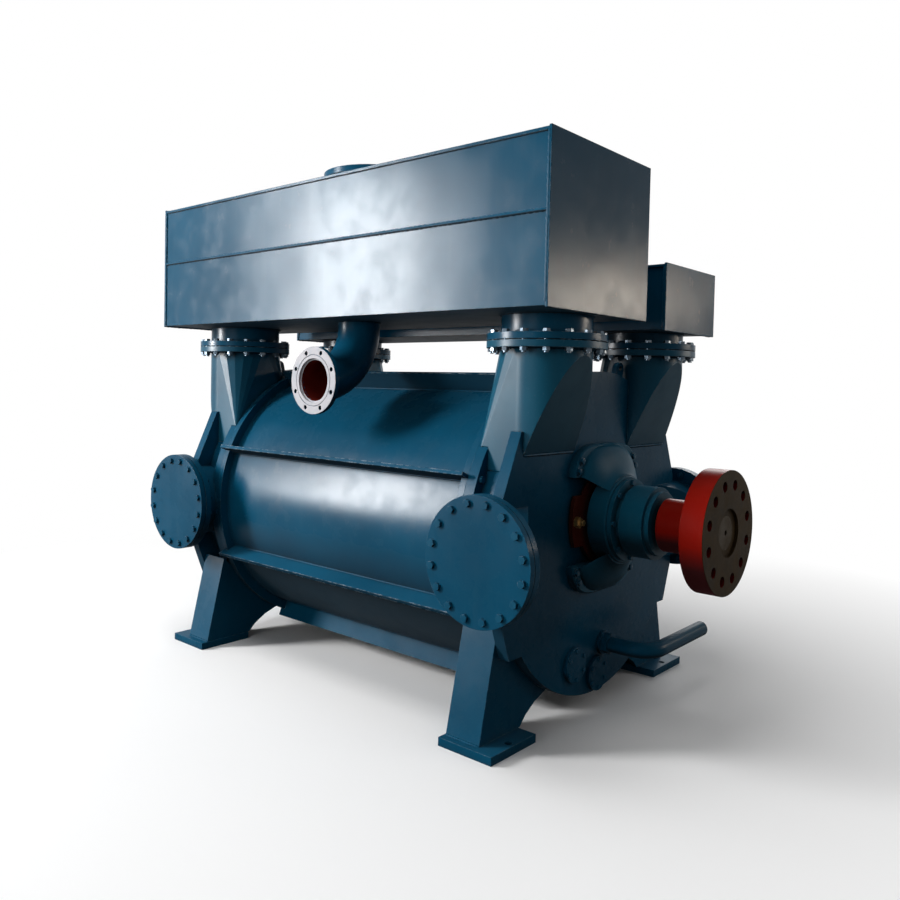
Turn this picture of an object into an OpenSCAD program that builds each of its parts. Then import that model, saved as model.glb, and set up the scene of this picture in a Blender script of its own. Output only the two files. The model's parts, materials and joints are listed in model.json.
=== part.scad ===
// Liquid ring vacuum pump on four feet, with a separator box and a suction box.
// X runs along the shaft towards the drive end, -Y is the front, +Z is up.
// The origin lies on the floor, at the centre of the four foundation bolts.

/* [Overall] */
// Height of the shaft axis over the floor
shaft_h = 940; // [900:1:1000]
// Drop of the casing axis below the shaft axis
ecc = 80; // [70:1:86]

/* [Casing] */
// Outer radius of the casing shell
casing_r = 735; // [728:1:745]
// Wall of the casing shell
casing_wall = 22; // [16:1:26]
// Outer radius of the ring flanges and of the end plates
ring_r = 787; // [782:1:800]
// Distance from the middle to the joint of casing and end cover
joint_x = 920; // [900:1:940]
// Thickness of a casing ring flange
casing_ring_t = 35; // [28:1:44]
// Height of a rib over the shell
rib_h = 96; // [70:1:120]
// Thickness of a rib
rib_t = 18; // [12:1:26]
// Number of ribs
rib_count = 8; // [4:2:12]
// Bolts in each joint of casing and end cover
joint_bolts = 24; // [16:4:32]

/* [End cover] */
// Width of an end cover from its joint to its outer face
cover_w = 245; // [235:1:260]
// Thickness of the cover's ring flange at the joint
cover_ring_t = 55; // [45:1:65]
// Thickness of the inner wall with the ports
inner_wall_t = 30; // [24:1:36]
// Thickness of the outer end plate
end_plate_t = 58; // [45:1:62]
// Wall of the drum between the two plates
drum_wall = 22; // [16:1:28]
// Wall between the suction and the discharge chamber
partition_t = 22; // [16:1:30]
// Half width of the ear plates
ear_y = 795; // [790:1:815]
// Height of the ear plates over the shaft axis
ear_top = 431; // [415:1:445]

/* [Nozzles] */
// Distance of the nozzles from the middle, along the shaft
nozzle_x = 1134; // [1125:1:1145]
// Distance of the nozzles from the shaft, across
nozzle_y = 453; // [445:1:460]
// Outer radius of the nozzle pipes
nozzle_r = 206; // [200:1:210]
// Wall of the nozzle pipes
nozzle_wall = 10; // [8:1:14]
// Height of the flange joint over the shaft axis
nozzle_top = 825; // [815:1:840]
// Height over the shaft axis where the round pipe has become square inboard
square_z = 337; // [325:1:350]
// Height over the shaft axis where the slanted wall starts
slant_z = 327; // [320:1:340]

/* [Large flanges] */
// Outer radius of a nozzle flange
flange_r = 270; // [264:1:282]
// Thickness of a nozzle flange
flange_t = 30; // [24:1:36]
// Bolt circle radius of a nozzle flange
flange_pcr = 247.5; // [240:0.5:250]
// Bolts in a nozzle flange
flange_bolts = 16; // [12:4:20]
// Radius of a nozzle flange's bolt
flange_bolt_r = 10; // [8:0.5:12]
// Thickness of a flange gasket
gasket_t = 4; // [3:0.5:6]

/* [Inspection ducts] */
// Drop of the duct axis below the shaft axis
duct_z = 97; // [90:1:105]
// Distance of the outer cover face from the shaft, across
duct_face = 929; // [920:1:945]
// Outer radius of a duct
duct_r = 203; // [195:1:206]
// Outer radius of a blank cover
blank_r = 276; // [270:1:282]
// Thickness of a blank cover
blank_t = 28; // [22:1:34]
// Bolt circle radius of a blank cover
blank_pcr = 243; // [239:1:250]

/* [Separator box] */
// Half length of the separator box
sep_x = 1405; // [1380:1:1450]
// Width of the separator box
sep_w = 818; // [780:1:840]
// Height of the separator box
sep_h = 706; // [600:1:800]
// Height of its floor over the shaft axis
sep_z = 940; // [925:1:960]
// Distance of its rear face in front of the shaft
sep_gap = 38; // [25:1:60]
// Plate thickness of both boxes
box_wall = 12; // [8:1:16]
// Amount by which the end plates stand proud
end_lip = 6; // [3:1:10]
// Height of the weld seam over the box floor
seam_h = 380; // [300:1:440]
// Radius of the weld bead
seam_r = 7; // [4:1:10]

/* [Suction box] */
// Half length of the suction box
suc_x = 1400; // [1375:1:1440]
// Width of the suction box
suc_w = 571; // [545:1:600]
// Height of the suction box
suc_h = 328; // [280:1:360]
// Height of its floor over the shaft axis
suc_z = 913; // [900:1:930]
// Distance of its front face behind the shaft
suc_gap = 166; // [150:1:176]
// Height of the inlet flange over the suction box
inlet_h = 140; // [110:1:180]

/* [Drain elbow] */
// Outer radius of the elbow pipe
elbow_r = 109.5; // [104:0.5:112]
// Wall of the elbow pipe
elbow_wall = 6; // [5:0.5:10]
// Bend radius of the elbow
elbow_bend = 283; // [275:1:295]
// Distance of the elbow's flange face from the shaft, across
elbow_face = 851; // [840:1:860]
// Height of the elbow's outlet axis over the shaft axis
elbow_z = 632; // [625:1:640]
// Outer radius of the elbow's flange
elbow_flange_r = 170; // [165:1:175]
// Thickness of the elbow's flange
elbow_flange_t = 26; // [20:1:30]
// Bolt circle radius of the elbow's flange
elbow_pcr = 147.5; // [144:0.5:150]
// Bolt hole radius of the elbow's flange
elbow_hole_r = 11; // [9:0.5:12]
// Radius of the sealing groove in the elbow's flange
elbow_groove_r = 129; // [124:1:132]

/* [Gas outlet] */
// Shift of the gas outlet from the middle, along the box
gas_x = 0; // [-400:5:400]
// Height of the gas outlet flange over the separator box
gas_h = 80; // [70:1:140]

/* [Rotor] */
// Number of impeller blades
blades = 18; // [12:1:20]
// Radius of the impeller hub
imp_hub_r = 240; // [230:1:250]
// Thickness of a blade
blade_t = 15; // [11:1:20]
// Bend radius of a blade
blade_bend = 480; // [450:1:520]
// Gap between impeller and casing at the closest place
tip_gap = 5; // [3:0.5:10]
// Gap between impeller and each port plate
end_gap = 1.5; // [0.8:0.1:3]
// Shaft radius in the impeller
shaft_r = 130; // [126:1:134]
// Shaft radius under the sleeves
sleeve_seat_r = 118; // [115:1:121]
// Outer radius of a shaft sleeve
sleeve_r = 140; // [137:1:142]
// Shaft radius in the bearings
bearing_seat_r = 90; // [88:1:92]
// Shaft radius in the coupling
coupling_seat_r = 75; // [72:1:80]

/* [Bearings] */
// Outer radius of a bearing
bearing_r = 160; // [157:1:163]
// Width of a bearing
bearing_w = 86; // [80:1:90]
// Rollers in a bearing
rollers = 18; // [14:1:20]
// Radius of the bearing ring of a bracket
ring1_r = 208; // [204:1:214]
// Width of the bearing ring of a bracket
ring1_w = 98; // [95:1:108]
// Distance of the bearing ring from the end plate
ring1_gap = 53; // [50:1:60]
// Radius of a bracket's base flange
bracket_r = 352; // [346:1:358]
// Half width of a bracket's feet on the end plate
bracket_foot_y = 300; // [285:1:320]
// Half height of a bracket's feet at their ends
bracket_foot_z = 285; // [270:1:300]
// Thickness of a bracket's base flange
bracket_flange_t = 40; // [32:1:46]
// Half height of a bracket's side window
window_h = 195; // [185:1:200]
// Radius of the outer step of the drive side bearing cover
ring2_r = 170; // [160:1:180]
// Bolts of a bearing bracket
bracket_bolt_n = 12; // [8:2:16]

/* [Stuffing box] */
// Bore radius of the stuffing box
box_bore_r = 170; // [167:1:172]
// Outer radius of the stuffing box
box_r = 206; // [200:1:212]
// Packing rings on each side
packings = 4; // [3:1:5]
// Outer radius of a gland follower's flange
gland_r = 228; // [222:1:234]
// Distance of the ends of a gland follower's two lugs from the shaft
gland_lug_r = 290; // [280:1:300]
// Half height of a gland follower's lugs
gland_lug_h = 120; // [90:1:150]
// Radius of a gland stud
stud_r = 14; // [10:0.5:16]

/* [Coupling] */
// Outer radius of the coupling flange
coup_r = 279; // [270:1:290]
// Thickness of the coupling flange
coup_t = 104; // [90:1:120]
// Radius of the coupling's hub
coup_hub_r = 123; // [116:1:130]
// Distance of the coupling face from the middle
coup_face = 1814; // [1806:1:1830]
// Bolt circle radius of the coupling
coup_pcr = 215; // [205:1:225]
// Bolt holes of the coupling
coup_holes = 12; // [8:1:12]
// Radius of a coupling bolt hole
coup_hole_r = 24; // [18:0.5:26]
// Radius of the recess in the coupling face
coup_recess_r = 108; // [98:1:114]

/* [Lifting lugs] */
// Outer radius of a lifting lug
lug_r = 32; // [26:1:36]
// Thickness of a lifting lug
lug_t = 30; // [22:1:40]
// Radius of a lifting lug's eye
lug_eye_r = 16; // [12:0.5:20]

/* [Feet] */
// Distance of a leg's front plate from the shaft at its top, across
leg_y0 = 735; // [715:1:750]
// Drop of that place below the shaft axis
leg_z0 = 430; // [410:1:450]
// Distance of a leg's front plate from the shaft at the sole, across
leg_y1 = 840; // [820:1:855]
// Inner edge of the soles, from the middle
sole_x0 = 912; // [905:1:918]
// Outer edge of the soles, from the middle
sole_x1 = 1203; // [1195:1:1220]
// Front edge of the soles, from the shaft
sole_y1 = 881; // [870:1:895]
// Inner side edge of the soles, from the shaft
sole_y0 = 560; // [540:1:580]
// Thickness of the soles
sole_t = 38; // [30:1:46]
// Radius of a foundation bolt hole
sole_hole_r = 17; // [13:0.5:19]
// Distance of the foundation bolts from the middle, along the shaft
sole_hole_x = 1170; // [1166:1:1172]
// Distance of the foundation bolts from the shaft, across
sole_hole_y = 720; // [700:1:740]
// Plate thickness of the feet
foot_wall = 22; // [16:1:28]

/* [Service pipe] */
// Outer radius of the sealing liquid pipe
pipe_r = 38; // [34:1:42]
// Wall of the sealing liquid pipe
pipe_wall = 4; // [3:0.5:6]
// Distance of the pipe's outer run from the middle
pipe_x = 1425; // [1400:1:1450]
// Distance of the pipe's end behind the shaft
pipe_end = 640; // [600:1:680]
// Drop of the pipe below the shaft axis
pipe_drop = 640; // [630:1:650]
// Outer radius of a drain blank
drain_r = 85; // [78:1:88]

/* [Hidden] */
$fn = 96;

// Fits
fit = 0.05;
run_gap = 0.4;
hole_gap = 1;
eps = 1;

// Stations along the shaft
plate_x = joint_x + cover_w;
plate_in = plate_x - end_plate_t;
ring_end = joint_x + cover_ring_t;
ring1_x0 = plate_x + ring1_gap;
ring1_x1 = ring1_x0 + ring1_w;
bearing_x0 = ring1_x0 + (ring1_w - bearing_w) / 2;
bearing_x1 = bearing_x0 + bearing_w;
flange2_t = 22;
neck_w = 26;
ring2_w = 115;
cap_t = 23;
cap_x = ring1_x1 + flange2_t + neck_w + ring2_w;
hub_x = cap_x + cap_t + 22;
shaft_end = coup_face - 14;
port_t = casing_ring_t;

// Casing
casing_ri = casing_r - casing_wall;
rib_r = casing_r + rib_h;
joint_pcr = (casing_r + ring_r) / 2;
joint_bolt_r = 10;

// Impeller
tip_r = casing_ri - ecc - tip_gap;
imp_x = joint_x - port_t - end_gap;

// Nozzle transition
nozzle_in = nozzle_x - nozzle_r;
slant_x0 = plate_x;
slant_x1 = nozzle_x + nozzle_r;
slant_z1 = nozzle_top - 60;
slant_a = atan2(slant_x1 - slant_x0, slant_z1 - slant_z);
nozzle_low = square_z - 150;

// Boxes
joint_z = nozzle_top + gasket_t;
sep_y = sep_gap + sep_w / 2;
suc_y = suc_gap + suc_w / 2;

// Ducts
duct_wall = 10;
duct_bore = duct_r - 16;
nozzle_bore = nozzle_r - 16;
weld_gap = 0.5;
duct_flange_t = 32;
duct_joint = duct_face - blank_t;
duct_root = 560;

// Pipe bend
pipe_bend = 110;
pipe_y = 60;

// Places of the drain blanks on an end plate, across and below the shaft axis
drain_at = [[-205, -690], [0, -778]];
drain_bore = drain_r - 30;
drain_t = 20;

// Brackets
bf_x = plate_x + bracket_flange_t;
bell_base = bracket_r - 44;
bell_end = ring1_r + 10;
bell_x1 = ring1_x0 + 0.75 * ring1_w;
bracket_pcr = bracket_r - 22;
bracket_bore = gland_r + 10;
inner_cover_r = bearing_r + 20;
cover_flange_r = ring1_r - 12;
cover_pcr = cover_flange_r - 18;
neck_r = 150;
nut_r = bearing_seat_r + 22;
nut_w = 24;
nut_room = nut_r + 4;
mid_r = coupling_seat_r + 5;
free_cap = nut_w + neck_w + 2;

// Bearings
race_in = bearing_seat_r + 22;
race_out = bearing_r - 17;
roller_r = (race_out - race_in) / 2 - run_gap;
roller_pr = (race_in + race_out) / 2;

// Lifting lugs
lug_x = (plate_in + plate_x - lug_t) / 2;
lug_rise = 1.25 * lug_r;

// Feet
leg_x0 = joint_x + 0.5;
leg_x1 = plate_in - 0.5;
sole_top = sole_t - shaft_h;

// Angles from the top where the end cover has room for joint bolts
nozzle_a0 = asin((nozzle_y - nozzle_r - 24) / joint_pcr);
nozzle_a1 = asin((nozzle_y + nozzle_r + 24) / joint_pcr);
duct_a = asin((duct_r + 24) / joint_pcr) + 1.5;
function fold(a) = a > 180 ? 360 - a : a;
function room(a) = !(a > nozzle_a0 && a < nozzle_a1) && !(abs(a - 90) < duct_a);

// Placing
module at_shaft() { translate([0, 0, shaft_h]) children(); }
module both_ends() { children(); mirror([1, 0, 0]) children(); }
module both_sides() { children(); mirror([0, 1, 0]) children(); }

// Rod along X from x0 to x1
module rod(x0, x1, r) { translate([x0, 0, 0]) rotate([0, 90, 0]) cylinder(h = x1 - x0, r = r); }

// Rod round the casing axis
module crod(x0, x1, r) { translate([0, 0, -ecc]) rod(x0, x1, r); }

// Pipe along X
module tube(x0, x1, ro, ri) {
  difference() {
    rod(x0, x1, ro);
    rod(x0 - eps, x1 + eps, ri);
  }
}

// Children placed n times round the X axis
module ring_x(n, r, start = 0) {
  for (i = [0 : n - 1]) rotate([start + i * 360 / n, 0, 0]) translate([0, 0, r]) children();
}

// Children placed at each joint bolt, round the casing axis
module joint_ring() {
  translate([0, 0, -ecc]) for (i = [0 : joint_bolts - 1]) {
    a = (i + 0.5) * 360 / joint_bolts;
    if (room(fold(a))) rotate([a, 0, 0]) translate([0, 0, joint_pcr]) children();
  }
}

// Children placed n times round the Z axis
module ring_z(n, r, start = 0) {
  for (i = [0 : n - 1]) rotate([0, 0, start + i * 360 / n]) translate([r, 0, 0]) children();
}

// Hex bolt along +Z, head above z = 0, shank below
module hex_bolt(r, len) {
  cylinder(h = 1.3 * r, r = 1.75 * r, $fn = 6);
  translate([0, 0, -len]) cylinder(h = len + eps, r = r);
}

// Hex bolt with a nut, clamping from z = 0 down to z = -grip
module bolt_nut(r, grip) {
  hex_bolt(r, grip + 2.4 * r);
  translate([0, 0, -grip - 1.6 * r]) cylinder(h = 1.6 * r, r = 1.75 * r, $fn = 6);
}

// Round flange with holes, from z = 0 up
module flange(ro, ri, t, n, pcr, hr) {
  difference() {
    cylinder(h = t, r = ro);
    translate([0, 0, -eps]) cylinder(h = t + 2 * eps, r = ri);
    ring_z(n, pcr, 180 / n) translate([0, 0, -eps]) cylinder(h = t + 2 * eps, r = hr);
  }
}

module casing_shell() color("#1b5d7d") at_shaft() difference() {
  union() {
    crod(-joint_x, joint_x, casing_r);
    both_ends() crod(joint_x - casing_ring_t, joint_x, ring_r);
  }
  crod(-joint_x - eps, joint_x + eps, casing_ri);
  both_ends() joint_ring() rod(joint_x - casing_ring_t + 8, joint_x + eps, joint_bolt_r + fit);
}

module casing_ribs() color("#1b5d7d") at_shaft() translate([0, 0, -ecc])
  for (i = [0 : rib_count - 1]) rotate([180 / rib_count + i * 360 / rib_count, 0, 0]) difference() {
    translate([-joint_x, -rib_t / 2, casing_r - casing_wall / 2])
      cube([2 * joint_x, rib_t, rib_r - casing_r + casing_wall / 2]);
    rod(-joint_x - eps, joint_x + eps, casing_r + fit);
    both_ends() rod(joint_x - casing_ring_t - fit, joint_x + eps, ring_r + fit);
  }

// Ring sector in the YZ plane, angles counted from straight down towards +Y
module sector_x(x0, x1, r0, r1, a0, a1) {
  steps = 6;
  translate([x0, 0, 0]) rotate([0, 90, 0]) linear_extrude(x1 - x0) intersection() {
    difference() {
      circle(r1);
      circle(r0);
    }
    polygon(concat([[0, 0]], [for (i = [0 : steps]) let(a = a0 + (a1 - a0) * i / steps)
      [2 * r1 * cos(a), 2 * r1 * sin(a)]]));
  }
}

// Suction port at the rear, discharge port at the front
module ports(x0, x1, grow = 0) {
  sector_x(x0, x1, imp_hub_r + 22 - grow, imp_hub_r + 150 + grow, 14 - grow / 5, 112 + grow / 5);
  sector_x(x0, x1, imp_hub_r + 22 - grow, imp_hub_r + 120 + grow, -62 - grow / 5, -18 + grow / 5);
}

module port_plate() at_shaft() difference() {
  crod(joint_x - port_t, joint_x, casing_ri - 0.5);
  rod(joint_x - port_t - eps, joint_x + eps, sleeve_r + 6);
  ports(joint_x - port_t - eps, joint_x + eps);
}

module port_plate_drive() color("#6f7275") port_plate();
module port_plate_free() color("#6f7275") mirror([1, 0, 0]) port_plate();

// Space outboard of the slanted nozzle wall, moved inwards by d
module slant_cut(d) {
  translate([slant_x0, 0, slant_z]) rotate([0, slant_a, 0])
    translate([-d, -2 * nozzle_r, -nozzle_top]) cube([nozzle_top, 4 * nozzle_r, 2 * nozzle_top]);
}

// Nozzle duct round at the top and square inboard below, inset by d
module nozzle_form(d, top) {
  r = nozzle_r - d;
  flat = r - 0.4;
  z1 = nozzle_top - flange_t + eps;
  difference() {
    union() {
      translate([nozzle_x, 0, nozzle_low]) cylinder(h = nozzle_top - nozzle_low + top, r = r);
      difference() {
        translate([nozzle_x - flat, -flat, nozzle_low]) cube([flat, 2 * flat, z1 - nozzle_low]);
        for (a = [135, -135], k = [-32 : 16 : 32]) let(d0 = sqrt(2) * r * cos(k), lean = atan2(d0 - r, z1 - square_z))
          translate([nozzle_x, 0, square_z]) rotate([0, 0, a + k]) translate([d0 - 1, 0, 0]) rotate([0, -lean, 0])
            translate([0, -2 * nozzle_r, -3 * nozzle_r]) cube([2 * nozzle_r, 4 * nozzle_r, 8 * nozzle_r]);
      }
    }
    slant_cut(d);
  }
}

module nozzle_duct() at_shaft() both_sides() difference() {
  translate([0, -nozzle_y, 0]) difference() {
    union() {
      nozzle_form(0, -eps);
      translate([nozzle_x, 0, nozzle_top - flange_t])
        flange(flange_r, nozzle_bore, flange_t, flange_bolts, flange_pcr, flange_bolt_r + hole_gap);
    }
    nozzle_form(nozzle_wall, -flange_t - 2);
    translate([nozzle_x, 0, nozzle_top - flange_t - 6]) cylinder(h = flange_t + 8, r = nozzle_bore);
  }
  crod(joint_x - eps, plate_x + eps, casing_r + weld_gap);
  crod(joint_x - eps, ring_end + weld_gap, ring_r + weld_gap);
  crod(plate_in - weld_gap, plate_x + eps, ring_r + weld_gap);
}

module nozzle_ducts_drive() color("#1b5d7d") nozzle_duct();
module nozzle_ducts_free() color("#1b5d7d") mirror([1, 0, 0]) nozzle_duct();

// Inspection duct along -Y with a slanted outboard wall, inset by d
module duct_form(d, y1) {
  slope = atan2(nozzle_x + duct_r - plate_x, y1 - 50 - duct_root - 50);
  difference() {
    translate([nozzle_x, -duct_root, -duct_z]) rotate([90, 0, 0]) cylinder(h = y1 - duct_root, r = duct_r - d);
    translate([plate_x, -duct_root - 50, -duct_z]) rotate([0, 0, slope])
      translate([-d, -duct_face, -2 * duct_r]) cube([duct_face, 2 * duct_face, 4 * duct_r]);
  }
}

// Outline of the ear plates in the YZ plane
module ears(x0, x1) {
  low_z = -duct_z - (ear_top + duct_z) * 0.86;
  side = nozzle_y + nozzle_r + weld_gap;
  translate([x0, 0, 0]) rotate([90, 0, 90]) linear_extrude(x1 - x0) polygon([
    [-side, ear_top], [-side - 12, ear_top], [-ear_y, ear_top - 285],
    [-ear_y, -duct_z - 255], [-ear_y + 75, low_z], [-ear_y + 250, low_z],
    [-ear_y + 290, 0], [-side, ear_top - 130]]);
}

module end_cover() at_shaft() difference() {
  union() {
    difference() {
      union() {
        crod(joint_x, plate_x, casing_r);
        crod(joint_x, ring_end, ring_r);
        crod(plate_in, plate_x, ring_r);
        both_sides() {
          ears(plate_in, plate_x);
          duct_form(0, duct_joint - gasket_t);
          translate([nozzle_x, -duct_joint + gasket_t, -duct_z]) rotate([-90, 0, 0])
            flange(blank_r, duct_bore, duct_flange_t, flange_bolts, blank_pcr, flange_bolt_r + hole_gap);
        }
      }
      crod(joint_x + inner_wall_t, plate_x - inner_wall_t, casing_r - drum_wall);
      both_sides() {
        duct_form(duct_wall, duct_joint - gasket_t - duct_flange_t / 2);
        translate([nozzle_x, -duct_joint - eps, -duct_z]) rotate([-90, 0, 0]) cylinder(h = duct_flange_t + 6, r = duct_bore);
        translate([ring_end + 8, -nozzle_y - nozzle_r + 36, 150])
          cube([plate_in - ring_end - 16, 2 * nozzle_r - 72, 600]);
      }
    }
    intersection() {
      translate([joint_x + eps, -partition_t / 2, -ecc - casing_r + eps])
        cube([cover_w - 2 * eps, partition_t, 2 * casing_r - 2 * eps]);
      crod(joint_x, plate_x, casing_r - 2);
    }
    rod(joint_x + eps, plate_x, box_r);
  }
  rod(joint_x - eps, plate_x + eps, sleeve_r + 2);
  rod(ring_end + 10, plate_x + eps, box_bore_r);
  ports(joint_x - eps, joint_x + inner_wall_t + eps, 4);
  joint_ring() rod(joint_x - eps, ring_end + eps, joint_bolt_r + hole_gap);
  for (p = drain_at) translate([0, p[0], p[1]]) rod(plate_in - eps, plate_x + eps, drain_bore);
}

module end_cover_drive() color("#1b5d7d") difference() {
  end_cover();
  at_shaft() translate([0, pipe_y, -pipe_drop]) rod(plate_in - eps, plate_x + eps, pipe_r - pipe_wall);
}
module end_cover_free() color("#1b5d7d") mirror([1, 0, 0]) end_cover();

module casing_bolts() color("#8a8f93") at_shaft() both_ends() joint_ring()
  translate([ring_end, 0, 0]) rotate([0, 90, 0]) hex_bolt(joint_bolt_r, cover_ring_t + casing_ring_t - 14);

module lifting_lugs() color("#1b5d7d") at_shaft() both_ends() translate([0, 0, -ecc]) both_sides()
  rotate([asin((nozzle_y - nozzle_r - 2 * lug_r) / ring_r), 0, 0]) difference() {
    union() {
      translate([lug_x, -lug_r, ring_r - lug_r / 5]) cube([lug_t, 2 * lug_r, lug_rise + lug_r / 5]);
      translate([lug_x, 0, ring_r + lug_rise]) rotate([0, 90, 0]) cylinder(h = lug_t, r = lug_r);
    }
    translate([lug_x - eps, 0, ring_r + lug_rise]) rotate([0, 90, 0]) cylinder(h = lug_t + 2 * eps, r = lug_eye_r);
    rod(plate_in - eps, plate_x + eps, ring_r + fit);
  }

// One foot on the front side of one end
module foot() {
  foot_web = [[-leg_y0, -leg_z0], [-leg_y1, sole_top], [-0.975 * sole_y0, sole_top], [-0.907 * sole_y0, 0.956 * sole_top],
    [-0.768 * sole_y0, 0.904 * sole_top], [-0.589 * sole_y0, 0.865 * sole_top]];
  difference() {
    union() {
      for (x = [leg_x0, leg_x1 - foot_wall]) translate([x, 0, 0]) rotate([90, 0, 90])
        linear_extrude(foot_wall) polygon(foot_web);
      translate([leg_x0, 0, 0]) rotate([90, 0, 90]) linear_extrude(leg_x1 - leg_x0) polygon([
        foot_web[0], foot_web[1], foot_web[1] + [foot_wall, 0], foot_web[0] + [foot_wall, 0]]);
      translate([sole_x0, -sole_y1, -shaft_h]) cube([sole_x1 - sole_x0, sole_y1 - sole_y0, sole_t]);
    }
    crod(sole_x0 - eps, sole_x1 + eps, ring_r + run_gap);
    translate([sole_hole_x, -sole_hole_y, -shaft_h - eps]) cylinder(h = sole_t + 2 * eps, r = sole_hole_r);
  }
}

module pedestal_drive() color("#1b5d7d") at_shaft() both_sides() foot();
module pedestal_free() color("#1b5d7d") at_shaft() mirror([1, 0, 0]) both_sides() foot();

// Children placed at the four inspection duct mouths, +Z pointing outwards from the cover face
module at_ducts() { at_shaft() both_ends() both_sides() translate([nozzle_x, -duct_face, -duct_z]) rotate([90, 0, 0]) children(); }

module inspection_covers() color("#1f6488") at_ducts() translate([0, 0, -blank_t]) difference() {
  cylinder(h = blank_t, r = blank_r);
  ring_z(flange_bolts, blank_pcr, 180 / flange_bolts) translate([0, 0, -eps])
    cylinder(h = blank_t + 2 * eps, r = flange_bolt_r + hole_gap);
}

module inspection_gaskets() color("#2b2b2b") at_ducts() translate([0, 0, -blank_t - gasket_t]) difference() {
  cylinder(h = gasket_t, r = blank_pcr - flange_bolt_r - 4);
  translate([0, 0, -eps]) cylinder(h = gasket_t + 2 * eps, r = duct_bore);
}

module inspection_bolts() color("#2a5f80") at_ducts() ring_z(flange_bolts, blank_pcr, 180 / flange_bolts)
  bolt_nut(flange_bolt_r, blank_t + gasket_t + duct_flange_t);

// Box of plates with proud end plates, floor at z = 0, centred on y = 0
module plate_box(hx, w, h) {
  difference() {
    union() {
      translate([-hx + eps, -w / 2 + end_lip, end_lip]) cube([2 * hx - 2 * eps, w - 2 * end_lip, h - 2 * end_lip]);
      both_ends() translate([hx - box_wall, -w / 2, 0]) cube([box_wall, w, h]);
      translate([-hx + eps, -w / 2, h - end_lip - box_wall]) cube([2 * hx - 2 * eps, w, box_wall]);
    }
    translate([-hx + box_wall, -w / 2 + end_lip + box_wall, end_lip + box_wall])
      cube([2 * (hx - box_wall), w - 2 * (end_lip + box_wall), h - 2 * (end_lip + box_wall)]);
  }
}

// Flanged stub from the joint up to the floor of a box at height z1
module stub(z1) {
  translate([0, 0, joint_z]) {
    flange(flange_r, nozzle_r - nozzle_wall, flange_t, flange_bolts, flange_pcr, flange_bolt_r + hole_gap);
    difference() {
      cylinder(h = z1 - joint_z, r = nozzle_r);
      translate([0, 0, -eps]) cylinder(h = z1 - joint_z + 2 * eps, r = nozzle_r - nozzle_wall);
    }
  }
}

elbow_y = elbow_face - elbow_flange_t - elbow_bend;

module separator_box() color("#1b5d7d") at_shaft() {
  difference() {
    union() {
      translate([0, -sep_y, sep_z]) plate_box(sep_x, sep_w, sep_h);
      translate([0, -sep_gap - sep_w + end_lip, sep_z + seam_h]) rod(box_wall - sep_x, sep_x - box_wall, seam_r);
      both_ends() translate([nozzle_x, -nozzle_y, 0]) stub(sep_z + end_lip + eps);
    }
    both_ends() translate([nozzle_x, -nozzle_y, sep_z]) cylinder(h = 60, r = nozzle_r - nozzle_wall);
    translate([0, -elbow_y, sep_z - eps]) cylinder(h = 60, r = elbow_r - elbow_wall);
    translate([gas_x, -sep_y, sep_z + sep_h - 60]) cylinder(h = 70, r = nozzle_r - nozzle_wall);
  }
}

// Flanged branch on the top plate of a box, standing h over its end plates
module branch(h) {
  difference() {
    cylinder(h = h + end_lip, r = nozzle_r);
    translate([0, 0, -eps]) cylinder(h = h + end_lip + 2 * eps, r = nozzle_r - nozzle_wall);
  }
  translate([0, 0, h + end_lip - flange_t])
    flange(flange_r, nozzle_r - nozzle_wall, flange_t, flange_bolts, flange_pcr, flange_bolt_r + hole_gap);
}

module gas_outlet() color("#1b5d7d") at_shaft() translate([gas_x, -sep_y, sep_z + sep_h - end_lip]) branch(gas_h);

module drain_elbow() color("#1b5d7d") at_shaft() {
  translate([0, -elbow_y - elbow_bend, elbow_z + elbow_bend]) mirror([0, 0, 1]) rotate([90, 0, 90])
    rotate_extrude(angle = 90) translate([elbow_bend, 0]) difference() {
      circle(elbow_r);
      circle(elbow_r - elbow_wall);
    }
  translate([0, -elbow_y, elbow_z + elbow_bend]) difference() {
    cylinder(h = sep_z + end_lip - elbow_z - elbow_bend, r = elbow_r);
    translate([0, 0, -eps]) cylinder(h = sep_z - elbow_z, r = elbow_r - elbow_wall);
  }
  translate([0, -elbow_face, elbow_z]) rotate([-90, 0, 0]) difference() {
    flange(elbow_flange_r, elbow_r - elbow_wall, elbow_flange_t, 8, elbow_pcr, elbow_hole_r);
    translate([0, 0, -eps]) cylinder(h = elbow_flange_t / 2 + eps, r = elbow_r + 1.5);
    translate([0, 0, -eps]) difference() {
      cylinder(h = 3, r = elbow_groove_r + 1.5);
      translate([0, 0, -eps]) cylinder(h = 5, r = elbow_groove_r - 1.5);
    }
  }
}

module suction_box() color("#1b5d7d") at_shaft() difference() {
  union() {
    translate([0, suc_y, suc_z]) plate_box(suc_x, suc_w, suc_h);
    both_ends() translate([nozzle_x, nozzle_y, 0]) stub(suc_z + end_lip + eps);
  }
  both_ends() translate([nozzle_x, nozzle_y, suc_z]) cylinder(h = 60, r = nozzle_r - nozzle_wall);
  translate([0, suc_y, suc_z + suc_h - 60]) cylinder(h = 70, r = nozzle_r - nozzle_wall);
}

module suction_inlet() color("#1b5d7d") at_shaft() translate([0, suc_y, suc_z + suc_h - end_lip]) branch(inlet_h);

// Children placed on the four nozzle axes at the flange joint
module at_nozzles() { at_shaft() both_ends() both_sides() translate([nozzle_x, -nozzle_y, nozzle_top]) children(); }

module nozzle_gaskets() color("#2b2b2b") at_nozzles() difference() {
  cylinder(h = gasket_t, r = flange_pcr - flange_bolt_r - 4);
  translate([0, 0, -eps]) cylinder(h = gasket_t + 2 * eps, r = nozzle_bore);
}

module nozzle_bolts() color("#6c7a84") at_nozzles() translate([0, 0, gasket_t + flange_t])
  ring_z(flange_bolts, flange_pcr, 180 / flange_bolts) bolt_nut(flange_bolt_r, 2 * flange_t + gasket_t);

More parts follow.
